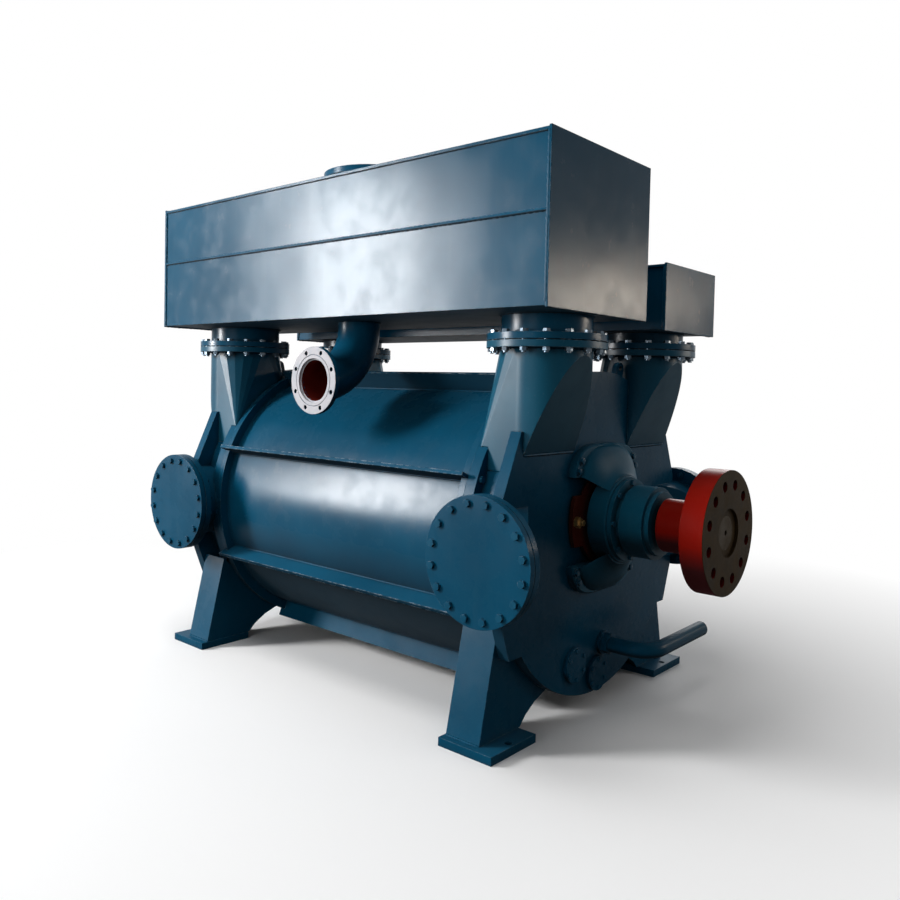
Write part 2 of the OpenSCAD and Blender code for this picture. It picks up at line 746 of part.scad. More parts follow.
// Bell round the shaft, flared from the bearing ring to the base of a bracket
module bell() {
  steps = 6;
  rotate([0, 90, 0]) rotate_extrude() polygon(concat([[0, bf_x - eps]], [for (i = [0 : steps]) let(t = i / steps)
    [bell_end + (bell_base - bell_end) * (1 + cos(180 * t)) / 2, bf_x - eps + (bell_x1 - bf_x + eps) * t]],
    [[0, bell_x1]]));
}

// Children placed at the bolts of a bracket's two feet
module bracket_ring() {
  for (i = [0 : bracket_bolt_n - 1]) {
    a = (i + 0.5) * 360 / bracket_bolt_n;
    if (abs(cos(a)) * bracket_pcr > window_h + 2 * flange_bolt_r) rotate([a, 0, 0]) translate([0, 0, bracket_pcr]) children();
  }
}

module bearing_bracket() at_shaft() difference() {
  union() {
    difference() {
      union() {
        rod(plate_x, bf_x, bracket_r);
        translate([plate_x, -bracket_foot_y, -bracket_foot_z])
          cube([bracket_flange_t, 2 * bracket_foot_y, 2 * bracket_foot_z]);
        bell();
      }
      rod(plate_x - eps, ring1_x0, bracket_bore);
      translate([plate_x - eps, -2 * bracket_r, -window_h])
        cube([bell_x1 - plate_x + 3 * eps, 4 * bracket_r, 2 * window_h]);
    }
    rod(ring1_x0, ring1_x1, ring1_r);
  }
  rod(bearing_x0, ring1_x1 + eps, bearing_r + fit);
  rod(ring1_x0 - eps, ring1_x1 + eps, bearing_r - 12);
  bracket_ring() rod(plate_x - eps, bf_x + eps, flange_bolt_r + hole_gap);
}

module bearing_bracket_drive() color("#1b5d7d") bearing_bracket();
module bearing_bracket_free() color("#1b5d7d") mirror([1, 0, 0]) bearing_bracket();

module bracket_bolts() color("#2a5f80") at_shaft() both_ends() bracket_ring()
  translate([bf_x, 0, 0]) rotate([0, 90, 0]) hex_bolt(flange_bolt_r, bracket_flange_t);

module bearing_inner_covers() color("#1b5d7d") at_shaft() both_ends()
  tube(ring1_x0 - 18, ring1_x0, inner_cover_r, sleeve_seat_r - 14);

module bearing_cover_drive() color("#1b5d7d") at_shaft() difference() {
  union() {
    rod(ring1_x1, ring1_x1 + flange2_t, cover_flange_r);
    rod(ring1_x1, cap_x - ring2_w + eps, neck_r);
    rod(cap_x - ring2_w, cap_x, ring2_r);
    rod(cap_x - eps, cap_x + cap_t, neck_r);
  }
  rod(ring1_x1 - eps, cap_x + cap_t + eps, mid_r + 1.5);
  rod(ring1_x1 - eps, ring1_x1 + flange2_t + neck_w, nut_room);
  ring_x(8, cover_pcr) rod(ring1_x1 - eps, ring1_x1 + flange2_t + eps, 8 + hole_gap);
}

module bearing_cover_free() color("#1b5d7d") at_shaft() mirror([1, 0, 0]) difference() {
  union() {
    rod(ring1_x1, ring1_x1 + flange2_t, cover_flange_r);
    rod(ring1_x1, ring1_x1 + flange2_t + free_cap, neck_r);
  }
  rod(ring1_x1 - eps, ring1_x1 + flange2_t + free_cap - 0.7 * cap_t, nut_room);
  ring_x(8, cover_pcr) rod(ring1_x1 - eps, ring1_x1 + flange2_t + eps, 8 + hole_gap);
}

module bearing_cover_bolts() color("#2a5f80") at_shaft() both_ends() ring_x(8, cover_pcr)
  translate([ring1_x1 + flange2_t, 0, 0]) rotate([0, 90, 0]) hex_bolt(8, flange2_t);

module bearing_outer_rings() color("#b9bcc0") at_shaft() both_ends() tube(bearing_x0, bearing_x1, bearing_r, race_out);

packing_x0 = ring_end + 12;
packing_x1 = plate_x - 22;
packing_w = (packing_x1 - packing_x0) / packings;

module packing_rings() color("#c9b98a") at_shaft() both_ends() for (i = [0 : packings - 1])
  tube(packing_x0 + i * packing_w, packing_x0 + (i + 1) * packing_w - 1, box_bore_r - 0.2, sleeve_r + run_gap);

stud_pr = (gland_r + gland_lug_r) / 2;
gland_x0 = plate_x + 8;
gland_x1 = gland_x0 + 20;

module gland_followers() color("#7a2f1e") at_shaft() both_ends() difference() {
  union() {
    rod(plate_x - 20, gland_x0 + eps, box_bore_r - 1);
    rod(gland_x0, gland_x1, gland_r);
    intersection() {
      rod(gland_x0, gland_x1, gland_lug_r);
      translate([gland_x0 - eps, -2 * gland_lug_r, -gland_lug_h])
        cube([gland_x1 - gland_x0 + 2 * eps, 4 * gland_lug_r, 2 * gland_lug_h]);
    }
  }
  rod(plate_x - 21, gland_x1 + eps, sleeve_r + 2);
  both_sides() translate([0, stud_pr, 0]) rod(plate_x, gland_x1 + eps, stud_r + hole_gap);
}

module gland_studs() color("#8a6f3a") at_shaft() both_ends() both_sides() translate([0, stud_pr, 0]) {
  rod(plate_x, gland_x1 + 3 * stud_r, stud_r);
  translate([gland_x1, 0, 0]) rotate([0, 90, 0]) cylinder(h = 1.6 * stud_r, r = 1.9 * stud_r, $fn = 6);
}

// Ring of pipe wall in the plane of a bend
module pipe_ring() {
  difference() {
    circle(pipe_r);
    circle(pipe_r - pipe_wall);
  }
}

module liquid_pipe() color("#1b5d7d") at_shaft() translate([0, pipe_y, -pipe_drop]) {
  difference() {
    union() {
      rod(plate_x, plate_x + 18, pipe_r + 20);
      translate([plate_x + 17, 0, 0]) rotate([0, 90, 0]) cylinder(h = 34, r = pipe_r + 14, $fn = 6);
      rod(plate_x, pipe_x - pipe_bend, pipe_r);
    }
    rod(plate_x - eps, pipe_x - pipe_bend + eps, pipe_r - pipe_wall);
  }
  translate([pipe_x - pipe_bend, pipe_bend, 0]) rotate([0, 0, -90]) rotate_extrude(angle = 90)
    translate([pipe_bend, 0]) pipe_ring();
  translate([pipe_x, pipe_end - pipe_y, 0]) rotate([90, 0, 0]) linear_extrude(pipe_end - pipe_y - pipe_bend) pipe_ring();
}

module drain_blanks() color("#1f6488") at_shaft() both_ends() for (p = drain_at) translate([0, p[0], p[1]]) difference() {
  rod(plate_x, plate_x + drain_t, drain_r);
  ring_x(6, drain_r - 16) rod(plate_x - eps, plate_x + drain_t + eps, 7);
}

module drain_bolts() color("#2a5f80") at_shaft() both_ends() for (p = drain_at) translate([0, p[0], p[1]])
  ring_x(6, drain_r - 16) translate([plate_x + drain_t, 0, 0]) rotate([0, 90, 0]) hex_bolt(6, drain_t);

// Keys
imp_key = [600, 56, 32];
imp_key_z = shaft_r - 18;
coup_key = [190, 36, 22];
coup_key_z = coupling_seat_r - 13;
coup_key_x = hub_x + 40;

module key_slots(gap) {
  translate([-imp_key[0] / 2 - gap, -imp_key[1] / 2 - gap, imp_key_z - gap])
    cube([imp_key[0] + 2 * gap, imp_key[1] + 2 * gap, imp_key[2] + 2 * gap]);
  translate([coup_key_x - gap, -coup_key[1] / 2 - gap, coup_key_z - gap])
    cube([coup_key[0] + 2 * gap, coup_key[1] + 2 * gap, coup_key[2] + 2 * gap]);
}

module shaft() color("#9a9da0") at_shaft() difference() {
  union() {
    rod(-imp_x, imp_x, shaft_r);
    both_ends() {
      rod(imp_x - eps, plate_x + 30, sleeve_seat_r);
      rod(plate_x, bearing_x0, sleeve_seat_r - 18);
      rod(bearing_x0 - eps, bearing_x1 + nut_w + 4, bearing_seat_r);
    }
    rod(bearing_x1, hub_x, mid_r);
    rod(hub_x - eps, shaft_end, coupling_seat_r);
  }
  key_slots(fit);
  rod(shaft_end - 40, shaft_end + eps, 12);
}

// One forward-curved blade in the plane across the shaft
module blade() {
  intersection() {
    translate([imp_hub_r - 5, blade_bend]) difference() {
      circle(blade_bend + blade_t / 2);
      circle(blade_bend - blade_t / 2);
    }
    difference() {
      circle(tip_r);
      circle(imp_hub_r - 8);
    }
    translate([imp_hub_r - 40, -60]) square([tip_r, 420]);
  }
}

module impeller() color("#7d8388") at_shaft() difference() {
  union() {
    rod(-imp_x, imp_x, imp_hub_r);
    translate([-imp_x, 0, 0]) rotate([0, 90, 0]) linear_extrude(2 * imp_x) for (i = [0 : blades - 1])
      rotate(i * 360 / blades) blade();
    rod(-12, 12, tip_r - 60);
  }
  rod(-imp_x - eps, imp_x + eps, shaft_r + fit);
  key_slots(fit);
}

module impeller_key() color("#8a8f93") at_shaft()
  translate([-imp_key[0] / 2, -imp_key[1] / 2, imp_key_z]) cube(imp_key);

module coupling_key() color("#8a8f93") at_shaft()
  translate([coup_key_x, -coup_key[1] / 2, coup_key_z]) cube(coup_key);

module shaft_sleeves() color("#b9bcc0") at_shaft() both_ends()
  tube(imp_x, plate_x + 30, sleeve_r, sleeve_seat_r + fit);

module bearing_inner_rings() color("#b9bcc0") at_shaft() both_ends()
  tube(bearing_x0, bearing_x1, race_in, bearing_seat_r + fit);

module bearing_roller_sets() color("#b9bcc0") at_shaft() both_ends() {
  ring_x(rollers, roller_pr) rod(bearing_x0 + 12, bearing_x1 - 12, roller_r);
  tube(bearing_x0 + 4, bearing_x0 + 11, roller_pr + 9, roller_pr - 9);
  tube(bearing_x1 - 11, bearing_x1 - 4, roller_pr + 9, roller_pr - 9);
}

module bearing_nuts() color("#8a8f93") at_shaft() both_ends() difference() {
  tube(bearing_x1, bearing_x1 + nut_w, nut_r, bearing_seat_r + fit);
  ring_x(4, nut_r) translate([bearing_x1 - eps, -8, -8]) cube([nut_w + 2 * eps, 16, 20]);
}

module coupling_hub() color("#b01813") at_shaft() difference() {
  union() {
    rod(coup_face - coup_t, coup_face, coup_r);
    rod(hub_x, coup_face, coup_hub_r);
  }
  rod(hub_x - eps, coup_face + eps, coupling_seat_r + fit);
  rod(shaft_end, coup_face + eps, coup_recess_r);
  ring_x(coup_holes, coup_pcr, 180 / coup_holes) rod(coup_face - coup_t - eps, coup_face + eps, coup_hole_r);
  key_slots(fit);
}

casing_shell();
casing_ribs();
port_plate_drive();
port_plate_free();
end_cover_drive();
end_cover_free();
nozzle_ducts_drive();
nozzle_ducts_free();
casing_bolts();
lifting_lugs();
pedestal_drive();
pedestal_free();
inspection_covers();
inspection_gaskets();
inspection_bolts();
separator_box();
gas_outlet();
drain_elbow();
suction_box();
suction_inlet();
nozzle_gaskets();
nozzle_bolts();
bearing_bracket_drive();
bearing_bracket_free();
bracket_bolts();
bearing_inner_covers();
bearing_cover_drive();
bearing_cover_free();
bearing_cover_bolts();
bearing_outer_rings();
packing_rings();
gland_followers();
gland_studs();
liquid_pipe();
drain_blanks();
drain_bolts();
shaft();
impeller();
impeller_key();
shaft_sleeves();
bearing_inner_rings();
bearing_roller_sets();
bearing_nuts();
coupling_hub();
coupling_key();
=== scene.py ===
"""Looks of a large liquid ring vacuum pump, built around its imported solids."""

import json
import logging
import math
from dataclasses import dataclass
from enum import Enum
from typing import Optional, Sequence, Union

import bmesh
import bpy
from mathutils import Matrix, Vector


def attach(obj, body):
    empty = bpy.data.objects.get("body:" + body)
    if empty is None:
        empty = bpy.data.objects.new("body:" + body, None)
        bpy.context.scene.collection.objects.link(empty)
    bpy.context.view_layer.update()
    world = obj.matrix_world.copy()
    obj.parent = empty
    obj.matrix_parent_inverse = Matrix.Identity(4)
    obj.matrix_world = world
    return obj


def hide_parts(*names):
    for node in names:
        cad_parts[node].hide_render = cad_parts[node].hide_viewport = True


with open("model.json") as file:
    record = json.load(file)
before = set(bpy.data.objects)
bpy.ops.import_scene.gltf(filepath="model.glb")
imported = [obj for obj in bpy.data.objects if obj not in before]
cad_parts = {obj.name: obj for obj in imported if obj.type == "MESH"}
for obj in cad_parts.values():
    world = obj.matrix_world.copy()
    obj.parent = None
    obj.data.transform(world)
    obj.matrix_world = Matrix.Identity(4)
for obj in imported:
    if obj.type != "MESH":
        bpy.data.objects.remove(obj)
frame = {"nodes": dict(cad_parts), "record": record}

LOG = logging.getLogger("pump_looks")
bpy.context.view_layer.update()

Colour = tuple[float, float, float]
Value = Union[float, bpy.types.NodeSocket]

# Heights and places that several sub-assemblies share, in metres
SHAFT_Z = 0.940
CASING_Z = 0.860
NOZZLE_X = 1.134
NOZZLE_Y = 0.453
NOZZLE_R = 0.206


class Body(Enum):
    """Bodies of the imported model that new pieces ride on."""

    PUMP = "pump"


class Slot(Enum):
    """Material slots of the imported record."""

    PUMP_PAINT = "pump_paint"
    BOX_PAINT = "box_paint"
    ELBOW_PAINT = "elbow_paint"
    PIPE_PAINT = "pipe_paint"
    CAST_PARTS = "cast_parts"
    GASKET = "gasket"
    PAINTED_BOLTS = "painted_bolts"
    PLATED_BOLTS = "plated_bolts"
    GLAND_NUTS = "gland_nuts"
    PACKING = "packing"
    GLAND_PAINT = "gland_paint"
    BARE_STEEL = "bare_steel"
    COUPLING_PAINT = "coupling_paint"


class Axis(Enum):
    """Directions that rings and runs of weld are laid about."""

    X = (1.0, 0.0, 0.0)
    Y = (0.0, 1.0, 0.0)
    Z = (0.0, 0.0, 1.0)


class NodeSheet:
    """A shader node tree with short calls for nodes, links and sums."""

    def __init__(self, tree: bpy.types.NodeTree) -> None:
        """Keeps the tree.

        Args:
            tree: Node tree to draw in.
        """
        self.tree = tree

    def node(self, kind: str, **values: object) -> bpy.types.Node:
        """Adds a node and sets its properties.

        Args:
            kind: Blender's name of the node type.
            values: Properties of the node.

        Returns:
            The new node.
        """
        made = self.tree.nodes.new(kind)
        for name, value in values.items():
            setattr(made, name, value)
        return made

    def feed(self, socket: bpy.types.NodeSocket, value: object) -> None:
        """Links a socket to another one, or sets its value.

        Args:
            socket: Input socket.
            value: Output socket, number, or colour of three numbers.
        """
        if isinstance(value, bpy.types.NodeSocket):
            self.tree.links.new(value, socket)
        elif isinstance(value, tuple) and socket.type == "RGBA":
            socket.default_value = (*value, 1.0)
        else:
            socket.default_value = value

    def math(self, operation: str, a: Value, b: Value = 0.0) -> bpy.types.NodeSocket:
        """Gives the result of a Math node on two values.

        Args:
            operation: Blender's name of the operation.
            a: First number or socket.
            b: Second number or socket.

        Returns:
            Socket with the result.
        """
        made = self.node("ShaderNodeMath", operation=operation)
        self.feed(made.inputs[0], a)
        self.feed(made.inputs[1], b)
        return made.outputs[0]

    def remap(
        self, value: Value, low: float, high: float, start: float = 0.0, end: float = 1.0
    ) -> bpy.types.NodeSocket:
        """Stretches a value's range onto another one, clamped.

        Args:
            value: Number or socket to stretch.
            low: Value that gives the first result.
            high: Value that gives the last result.
            start: First result.
            end: Last result.

        Returns:
            Socket with the stretched value.
        """
        made = self.node("ShaderNodeMapRange", clamp=True)
        for socket, number in zip(made.inputs, (value, low, high, start, end)):
            self.feed(socket, number)
        return made.outputs[0]

    def mix(self, factor: Value, a: object, b: object) -> bpy.types.NodeSocket:
        """Blends two colours.

        Args:
            factor: Share of the second colour.
            a: First colour or socket.
            b: Second colour or socket.

        Returns:
            Socket with the blended colour.
        """
        made = self.node("ShaderNodeMix", data_type="RGBA")
        self.feed(made.inputs[0], factor)
        self.feed(made.inputs[6], a)
        self.feed(made.inputs[7], b)
        return made.outputs[2]

    def place(self) -> bpy.types.NodeSocket:
        """Gives the object coordinates."""
        return self.node("ShaderNodeTexCoord").outputs["Object"]

    def stretch(self, scale: Sequence[float]) -> bpy.types.NodeSocket:
        """Gives the object coordinates scaled along each axis.

        Args:
            scale: Factor along each axis.

        Returns:
            Socket with the scaled coordinates.
        """
        made = self.node("ShaderNodeMapping")
        self.feed(made.inputs["Vector"], self.place())
        made.inputs["Scale"].default_value = scale
        return made.outputs[0]

    def noise(
        self, place: bpy.types.NodeSocket, scale: Value, detail: float = 2.0, rough: float = 0.5
    ) -> bpy.types.NodeSocket:
        """Gives the value of a noise texture.

        Args:
            place: Coordinates to read.
            scale: Grains per metre.
            detail: Layers of finer grain.
            rough: Strength of the finer layers.

        Returns:
            Socket with the value.
        """
        made = self.node("ShaderNodeTexNoise")
        self.feed(made.inputs["Vector"], place)
        self.feed(made.inputs["Scale"], scale)
        made.inputs["Detail"].default_value = detail
        made.inputs["Roughness"].default_value = rough
        return made.outputs[0]

    def split(self, vector: bpy.types.NodeSocket) -> list[bpy.types.NodeSocket]:
        """Gives the three parts of a vector.

        Args:
            vector: Socket with the vector.

        Returns:
            Sockets of its parts.
        """
        made = self.node("ShaderNodeSeparateXYZ")
        self.feed(made.inputs[0], vector)
        return list(made.outputs)

    def group(self, tree: bpy.types.NodeTree, **values: object) -> bpy.types.Node:
        """Places a node group and feeds its inputs.

        Args:
            tree: Tree of the group.
            values: Inputs by name, with underscores for spaces.

        Returns:
            The group node.
        """
        made = self.node("ShaderNodeGroup", node_tree=tree)
        for name, value in values.items():
            self.feed(made.inputs[name.replace("_", " ")], value)
        return made

    def bump(
        self,
        height: Value,
        strength: float,
        distance: float,
        normal: Optional[bpy.types.NodeSocket] = None,
    ) -> bpy.types.NodeSocket:
        """Gives a normal bent by a height.

        Args:
            height: Height over the surface.
            strength: Share of the effect.
            distance: Height of one unit, in metres.
            normal: Normal to start from.

        Returns:
            Socket with the bent normal.
        """
        made = self.node("ShaderNodeBump")
        made.inputs["Strength"].default_value = strength
        made.inputs["Distance"].default_value = distance
        self.feed(made.inputs["Height"], height)
        if normal is not None:
            self.feed(made.inputs["Normal"], normal)
        return made.outputs[0]


class Effects:
    """Node groups that more than one finish uses."""

    KINDS = {"f": "NodeSocketFloat", "c": "NodeSocketColor", "v": "NodeSocketVector"}

    def __init__(self) -> None:
        """Builds each group once."""
        self.enamel = self.make_enamel()
        self.edges = self.make_edges()
        self.corner_shade = self.make_corner_shade()
        self.turned = self.make_turned()

    def start(
        self, name: str, inputs: dict[str, str], outputs: dict[str, str]
    ) -> tuple[NodeSheet, dict, dict]:
        """Opens a node group.

        Args:
            name: Name of the group.
            inputs: Letters of KINDS by input name.
            outputs: Letters of KINDS by output name.

        Returns:
            The sheet, the sockets that come in and the sockets that go out, by name.
        """
        tree = bpy.data.node_groups.new(name, "ShaderNodeTree")
        for label, kind in inputs.items():
            tree.interface.new_socket(name=label, in_out="INPUT", socket_type=self.KINDS[kind])
        for label, kind in outputs.items():
            tree.interface.new_socket(name=label, in_out="OUTPUT", socket_type=self.KINDS[kind])
        sheet = NodeSheet(tree)
        into = sheet.node("NodeGroupInput")
        out = sheet.node("NodeGroupOutput")
        return sheet, {s.name: s for s in into.outputs}, {s.name: s for s in out.inputs}

    def make_enamel(self) -> bpy.types.NodeTree:
        """Draws enamel with clouds, runs, specks, settled dust and painted shade on faces that point down.

        Returns:
            Tree of the group.
        """
        sheet, into, out = self.start(
            "enamel_tone",
            {
                "Colour": "c",
                "Shade": "c",
                "Dust": "c",
                "Grime": "c",
                "Dust Amount": "f",
                "Patch Scale": "f",
                "Rough": "f",
            },
            {"Colour": "c", "Rough": "f", "Peel": "f", "Wave": "f"},
        )
        place = sheet.place()
        up = sheet.split(sheet.node("ShaderNodeNewGeometry").outputs["Normal"])[2]
        patch = sheet.noise(place, into["Patch Scale"], 4.0, 0.6)
        cloud = sheet.noise(place, 8.0, 6.0, 0.65)
        tone = sheet.mix(sheet.remap(patch, 0.36, 0.66), into["Colour"], into["Shade"])
        smoke = sheet.remap(cloud, 0.46, 0.76, 0.0, 0.4)
        tone = sheet.mix(smoke, tone, into["Shade"])
        run = sheet.noise(sheet.stretch((16.0, 16.0, 1.1)), 1.0, 4.0)
        side = sheet.math("SUBTRACT", 1.0, sheet.math("ABSOLUTE", up))
        run = sheet.math("MULTIPLY", sheet.remap(run, 0.57, 0.75, 0.0, 0.05), side)
        tone = sheet.mix(run, tone, into["Dust"])
        speck = sheet.noise(place, 120.0, 2.0)
        speck = sheet.math("MULTIPLY", sheet.remap(speck, 0.66, 0.73), into["Dust Amount"])
        tone = sheet.mix(speck, tone, into["Dust"])
        uneven = sheet.remap(cloud, 0.3, 0.7, 0.3, 1.0)
        settled = sheet.math("MULTIPLY", sheet.remap(up, 0.5, 0.98), uneven)
        settled = sheet.math("MULTIPLY", settled, into["Dust Amount"])
        tone = sheet.mix(settled, tone, into["Dust"])
        # Painted shade: faces that point down are darkened and made rougher.
        under = sheet.remap(up, -0.12, -0.5, 0.0, 0.8)
        tone = sheet.mix(under, tone, into["Grime"])
        rough = sheet.math("ADD", into["Rough"], sheet.math("MULTIPLY", smoke, 0.22))
        rough = sheet.math("ADD", rough, sheet.math("MULTIPLY", under, 0.5))
        rough = sheet.math("ADD", rough, sheet.math("MULTIPLY", settled, 0.5))
        sheet.feed(out["Colour"], tone)
        sheet.feed(out["Rough"], rough)
        sheet.feed(out["Peel"], sheet.noise(place, 300.0, 2.0))
        sheet.feed(out["Wave"], sheet.noise(place, 2.1, 1.0))
        return sheet.tree

    def make_edges(self) -> bpy.types.NodeTree:
        """Draws rounded edges, with a broken mask along them.

        Returns:
            Tree of the group.
        """
        sheet, into, out = self.start("worn_edges", {"Radius": "f"}, {"Normal": "v", "Mask": "f"})
        bevel = sheet.node("ShaderNodeBevel", samples=4)
        sheet.feed(bevel.inputs["Radius"], into["Radius"])
        dot = sheet.node("ShaderNodeVectorMath", operation="DOT_PRODUCT")
        sheet.feed(dot.inputs[0], bevel.outputs[0])
        sheet.feed(dot.inputs[1], sheet.node("ShaderNodeNewGeometry").outputs["Normal"])
        edge = sheet.remap(dot.outputs["Value"], 0.99, 0.8)
        broken = sheet.remap(sheet.noise(sheet.place(), 22.0, 5.0, 0.7), 0.45, 0.62)
        sheet.feed(out["Normal"], bevel.outputs[0])
        sheet.feed(out["Mask"], sheet.math("MULTIPLY", edge, broken))
        return sheet.tree

    def make_corner_shade(self) -> bpy.types.NodeTree:
        """Draws a mask of painted shade in corners, from ambient occlusion.

        Returns:
            Tree of the group.
        """
        sheet, into, out = self.start("corner_shade_mask", {"Reach": "f"}, {"Mask": "f"})
        shade = sheet.node("ShaderNodeAmbientOcclusion", samples=4)
        sheet.feed(shade.inputs["Distance"], into["Reach"])
        corner = sheet.remap(shade.outputs["AO"], 0.75, 0.25)
        broken = sheet.remap(sheet.noise(sheet.place(), 11.0, 5.0, 0.7), 0.3, 0.6, 0.3, 1.0)
        sheet.feed(out["Mask"], sheet.math("MULTIPLY", corner, broken))
        return sheet.tree

    def make_turned(self) -> bpy.types.NodeTree:
        """Draws the fine rings that a lathe leaves round the shaft axis, and the distance from it.

        Returns:
            Tree of the group.
        """
        sheet, into, out = self.start("lathe_rings", {"Pitch": "f"}, {"Height": "f", "Radius": "f"})
        parts = sheet.split(sheet.place())
        rise = sheet.math("SUBTRACT", parts[2], SHAFT_Z)
        across = sheet.math("MULTIPLY", parts[1], parts[1])
        radius = sheet.math("SQRT", sheet.math("ADD", across, sheet.math("MULTIPLY", rise, rise)))
        turn = sheet.math("MULTIPLY", sheet.math("DIVIDE", radius, into["Pitch"]), math.tau)
        sheet.feed(out["Height"], sheet.math("SINE", turn))
        sheet.feed(out["Radius"], radius)
        return sheet.tree


@dataclass(frozen=True)
class Finish:
    """A surface finish that can be made into a material."""

    name: str

    def start(self) -> tuple[bpy.types.Material, NodeSheet, bpy.types.Node]:
        """Opens an empty material with one main shader.

        Returns:
            The material, its sheet and its main shader node.
        """
        made = bpy.data.materials.new(self.name)
        made.use_nodes = True
        made.node_tree.nodes.clear()
        sheet = NodeSheet(made.node_tree)
        shader = sheet.node("ShaderNodeBsdfPrincipled")
        sheet.feed(sheet.node("ShaderNodeOutputMaterial").inputs["Surface"], shader.outputs[0])
        return made, sheet, shader

    def build(self, effects: Effects) -> bpy.types.Material:
        """Makes the material.

        Args:
            effects: Shared node groups.

        Returns:
            The new material.
        """
        raise NotImplementedError


@dataclass(frozen=True)
class Enamel(Finish):
    """Machine enamel on plate, castings or bolts."""

    colour: Colour = (0.003, 0.073, 0.140)
    shade: Colour = (0.002, 0.054, 0.106)
    dust: Colour = (0.09, 0.18, 0.24)
    dust_amount: float = 0.08
    rough: float = 0.27
    gloss: float = 0.028
    patch_scale: float = 1.6
    wave: float = 0.10
    wave_height: float = 0.05
    peel: float = 0.22
    peel_height: float = 0.0008
    edge_radius: float = 0.004
    # Edge colour: partly paint rubbed through, partly a painted highlight along the edges.
    edge_wear_and_glint: Colour = (0.22, 0.33, 0.40)
    edge_wear_and_glint_amount: float = 0.5
    # Painted shade: this colour darkens faces that point down and corners; share and reach set the corner
    # darkening.
    painted_shade: Colour = (0.008, 0.012, 0.014)
    painted_shade_amount: float = 0.75
    painted_shade_reach: float = 0.06

    def coat(self, effects: Effects) -> tuple[bpy.types.Material, NodeSheet, bpy.types.Node, dict]:
        """Opens the material and draws the paint film.

        Args:
            effects: Shared node groups.

        Returns:
            The material, its sheet, its shader and the film's sockets by name.
        """
        made, sheet, shader = self.start()
        film = sheet.group(
            effects.enamel,
            Colour=self.colour,
            Shade=self.shade,
            Dust=self.dust,
            Grime=self.painted_shade,
            Dust_Amount=self.dust_amount,
            Patch_Scale=self.patch_scale,
            Rough=self.rough,
        )
        edges = sheet.group(effects.edges, Radius=self.edge_radius)
        corners = sheet.group(effects.corner_shade, Reach=self.painted_shade_reach)
        # Edges take a paler tone: partly wear, partly a painted highlight.
        edge_wear_and_glint_mask = sheet.math("MULTIPLY", edges.outputs["Mask"], self.edge_wear_and_glint_amount)
        tone = sheet.mix(edge_wear_and_glint_mask, film.outputs["Colour"], self.edge_wear_and_glint)
        # Painted shade: corners that ambient occlusion finds are darkened.
        shaded_corners = sheet.math("MULTIPLY", corners.outputs["Mask"], self.painted_shade_amount)
        tone = sheet.mix(shaded_corners, tone, self.painted_shade)
        rough = sheet.math("ADD", film.outputs["Rough"], sheet.math("MULTIPLY", shaded_corners, 0.3))
        wavy = sheet.bump(film.outputs["Wave"], self.wave, self.wave_height, edges.outputs["Normal"])
        normal = sheet.bump(film.outputs["Peel"], self.peel, self.peel_height, wavy)
        shader.inputs["Specular IOR Level"].default_value = self.gloss
        return made, sheet, shader, {"tone": tone, "rough": rough, "normal": normal}

    def build(self, effects: Effects) -> bpy.types.Material:
        """Makes the painted material.

        Args:
            effects: Shared node groups.

        Returns:
            The new material.
        """
        made, sheet, shader, film = self.coat(effects)
        sheet.feed(shader.inputs["Base Color"], film["tone"])
        sheet.feed(shader.inputs["Roughness"], film["rough"])
        sheet.feed(shader.inputs["Normal"], film["normal"])
        return made


@dataclass(frozen=True)
class ElbowEnamel(Enamel):
    """Enamel on the drain elbow, with a pale flange face and a primed bore."""

    face: Colour = (0.50, 0.49, 0.52)
    face_stain: Colour = (0.24, 0.33, 0.40)
    primer: Colour = (0.11, 0.011, 0.007)
    face_y: float = -0.8495
    bend_y: float = -0.825
    bend_z: float = 1.855
    bend_r: float = 0.283
    axis_z: float = 1.572
    bore_r: float = 0.1065
    step_r: float = 0.1125
    step_y: float = -0.8375

    def build(self, effects: Effects) -> bpy.types.Material:
        """Makes the material with its three zones.

        Args:
            effects: Shared node groups.

        Returns:
            The new material.
        """
        made, sheet, shader, film = self.coat(effects)
        x, y, z = sheet.split(sheet.place())
        square_x = sheet.math("MULTIPLY", x, x)

        def length(first: bpy.types.NodeSocket, square: bpy.types.NodeSocket) -> bpy.types.NodeSocket:
            """Gives the length of a two-part vector whose second part is squared already."""
            return sheet.math("SQRT", sheet.math("ADD", sheet.math("MULTIPLY", first, first), square))

        dy = sheet.math("SUBTRACT", y, self.bend_y)
        dz = sheet.math("SUBTRACT", z, self.bend_z)
        swing = sheet.math("SUBTRACT", length(dy, sheet.math("MULTIPLY", dz, dz)), self.bend_r)
        in_bend = sheet.math("LESS_THAN", length(swing, square_x), self.bore_r)
        off_axis = length(sheet.math("SUBTRACT", z, self.axis_z), square_x)
        near_face = sheet.math("LESS_THAN", y, self.bend_y + 0.002)
        in_bore = sheet.math("LESS_THAN", off_axis, self.bore_r - 0.002)
        in_flange = sheet.math("MULTIPLY", in_bore, near_face)
        primed = sheet.math("MAXIMUM", in_bend, in_flange)
        step = sheet.math("LESS_THAN", off_axis, self.step_r)
        step = sheet.math("MULTIPLY", step, sheet.math("LESS_THAN", y, self.step_y))
        faced = sheet.math("MAXIMUM", sheet.math("LESS_THAN", y, self.face_y), step)
        stain = sheet.remap(sheet.noise(sheet.place(), 18.0, 5.0, 0.65), 0.45, 0.75, 0.0, 0.5)
        pale = sheet.mix(stain, self.face, self.face_stain)
        tone = sheet.mix(primed, film["tone"], self.primer)
        tone = sheet.mix(faced, tone, pale)
        sheet.feed(shader.inputs["Base Color"], tone)
        chalky = sheet.math("MULTIPLY", primed, 0.6)
        matt = sheet.math("MAXIMUM", chalky, sheet.math("MULTIPLY", faced, 0.5))
        sheet.feed(shader.inputs["Roughness"], sheet.math("MAXIMUM", film["rough"], matt))
        sheet.feed(shader.inputs["Normal"], film["normal"])
        return made


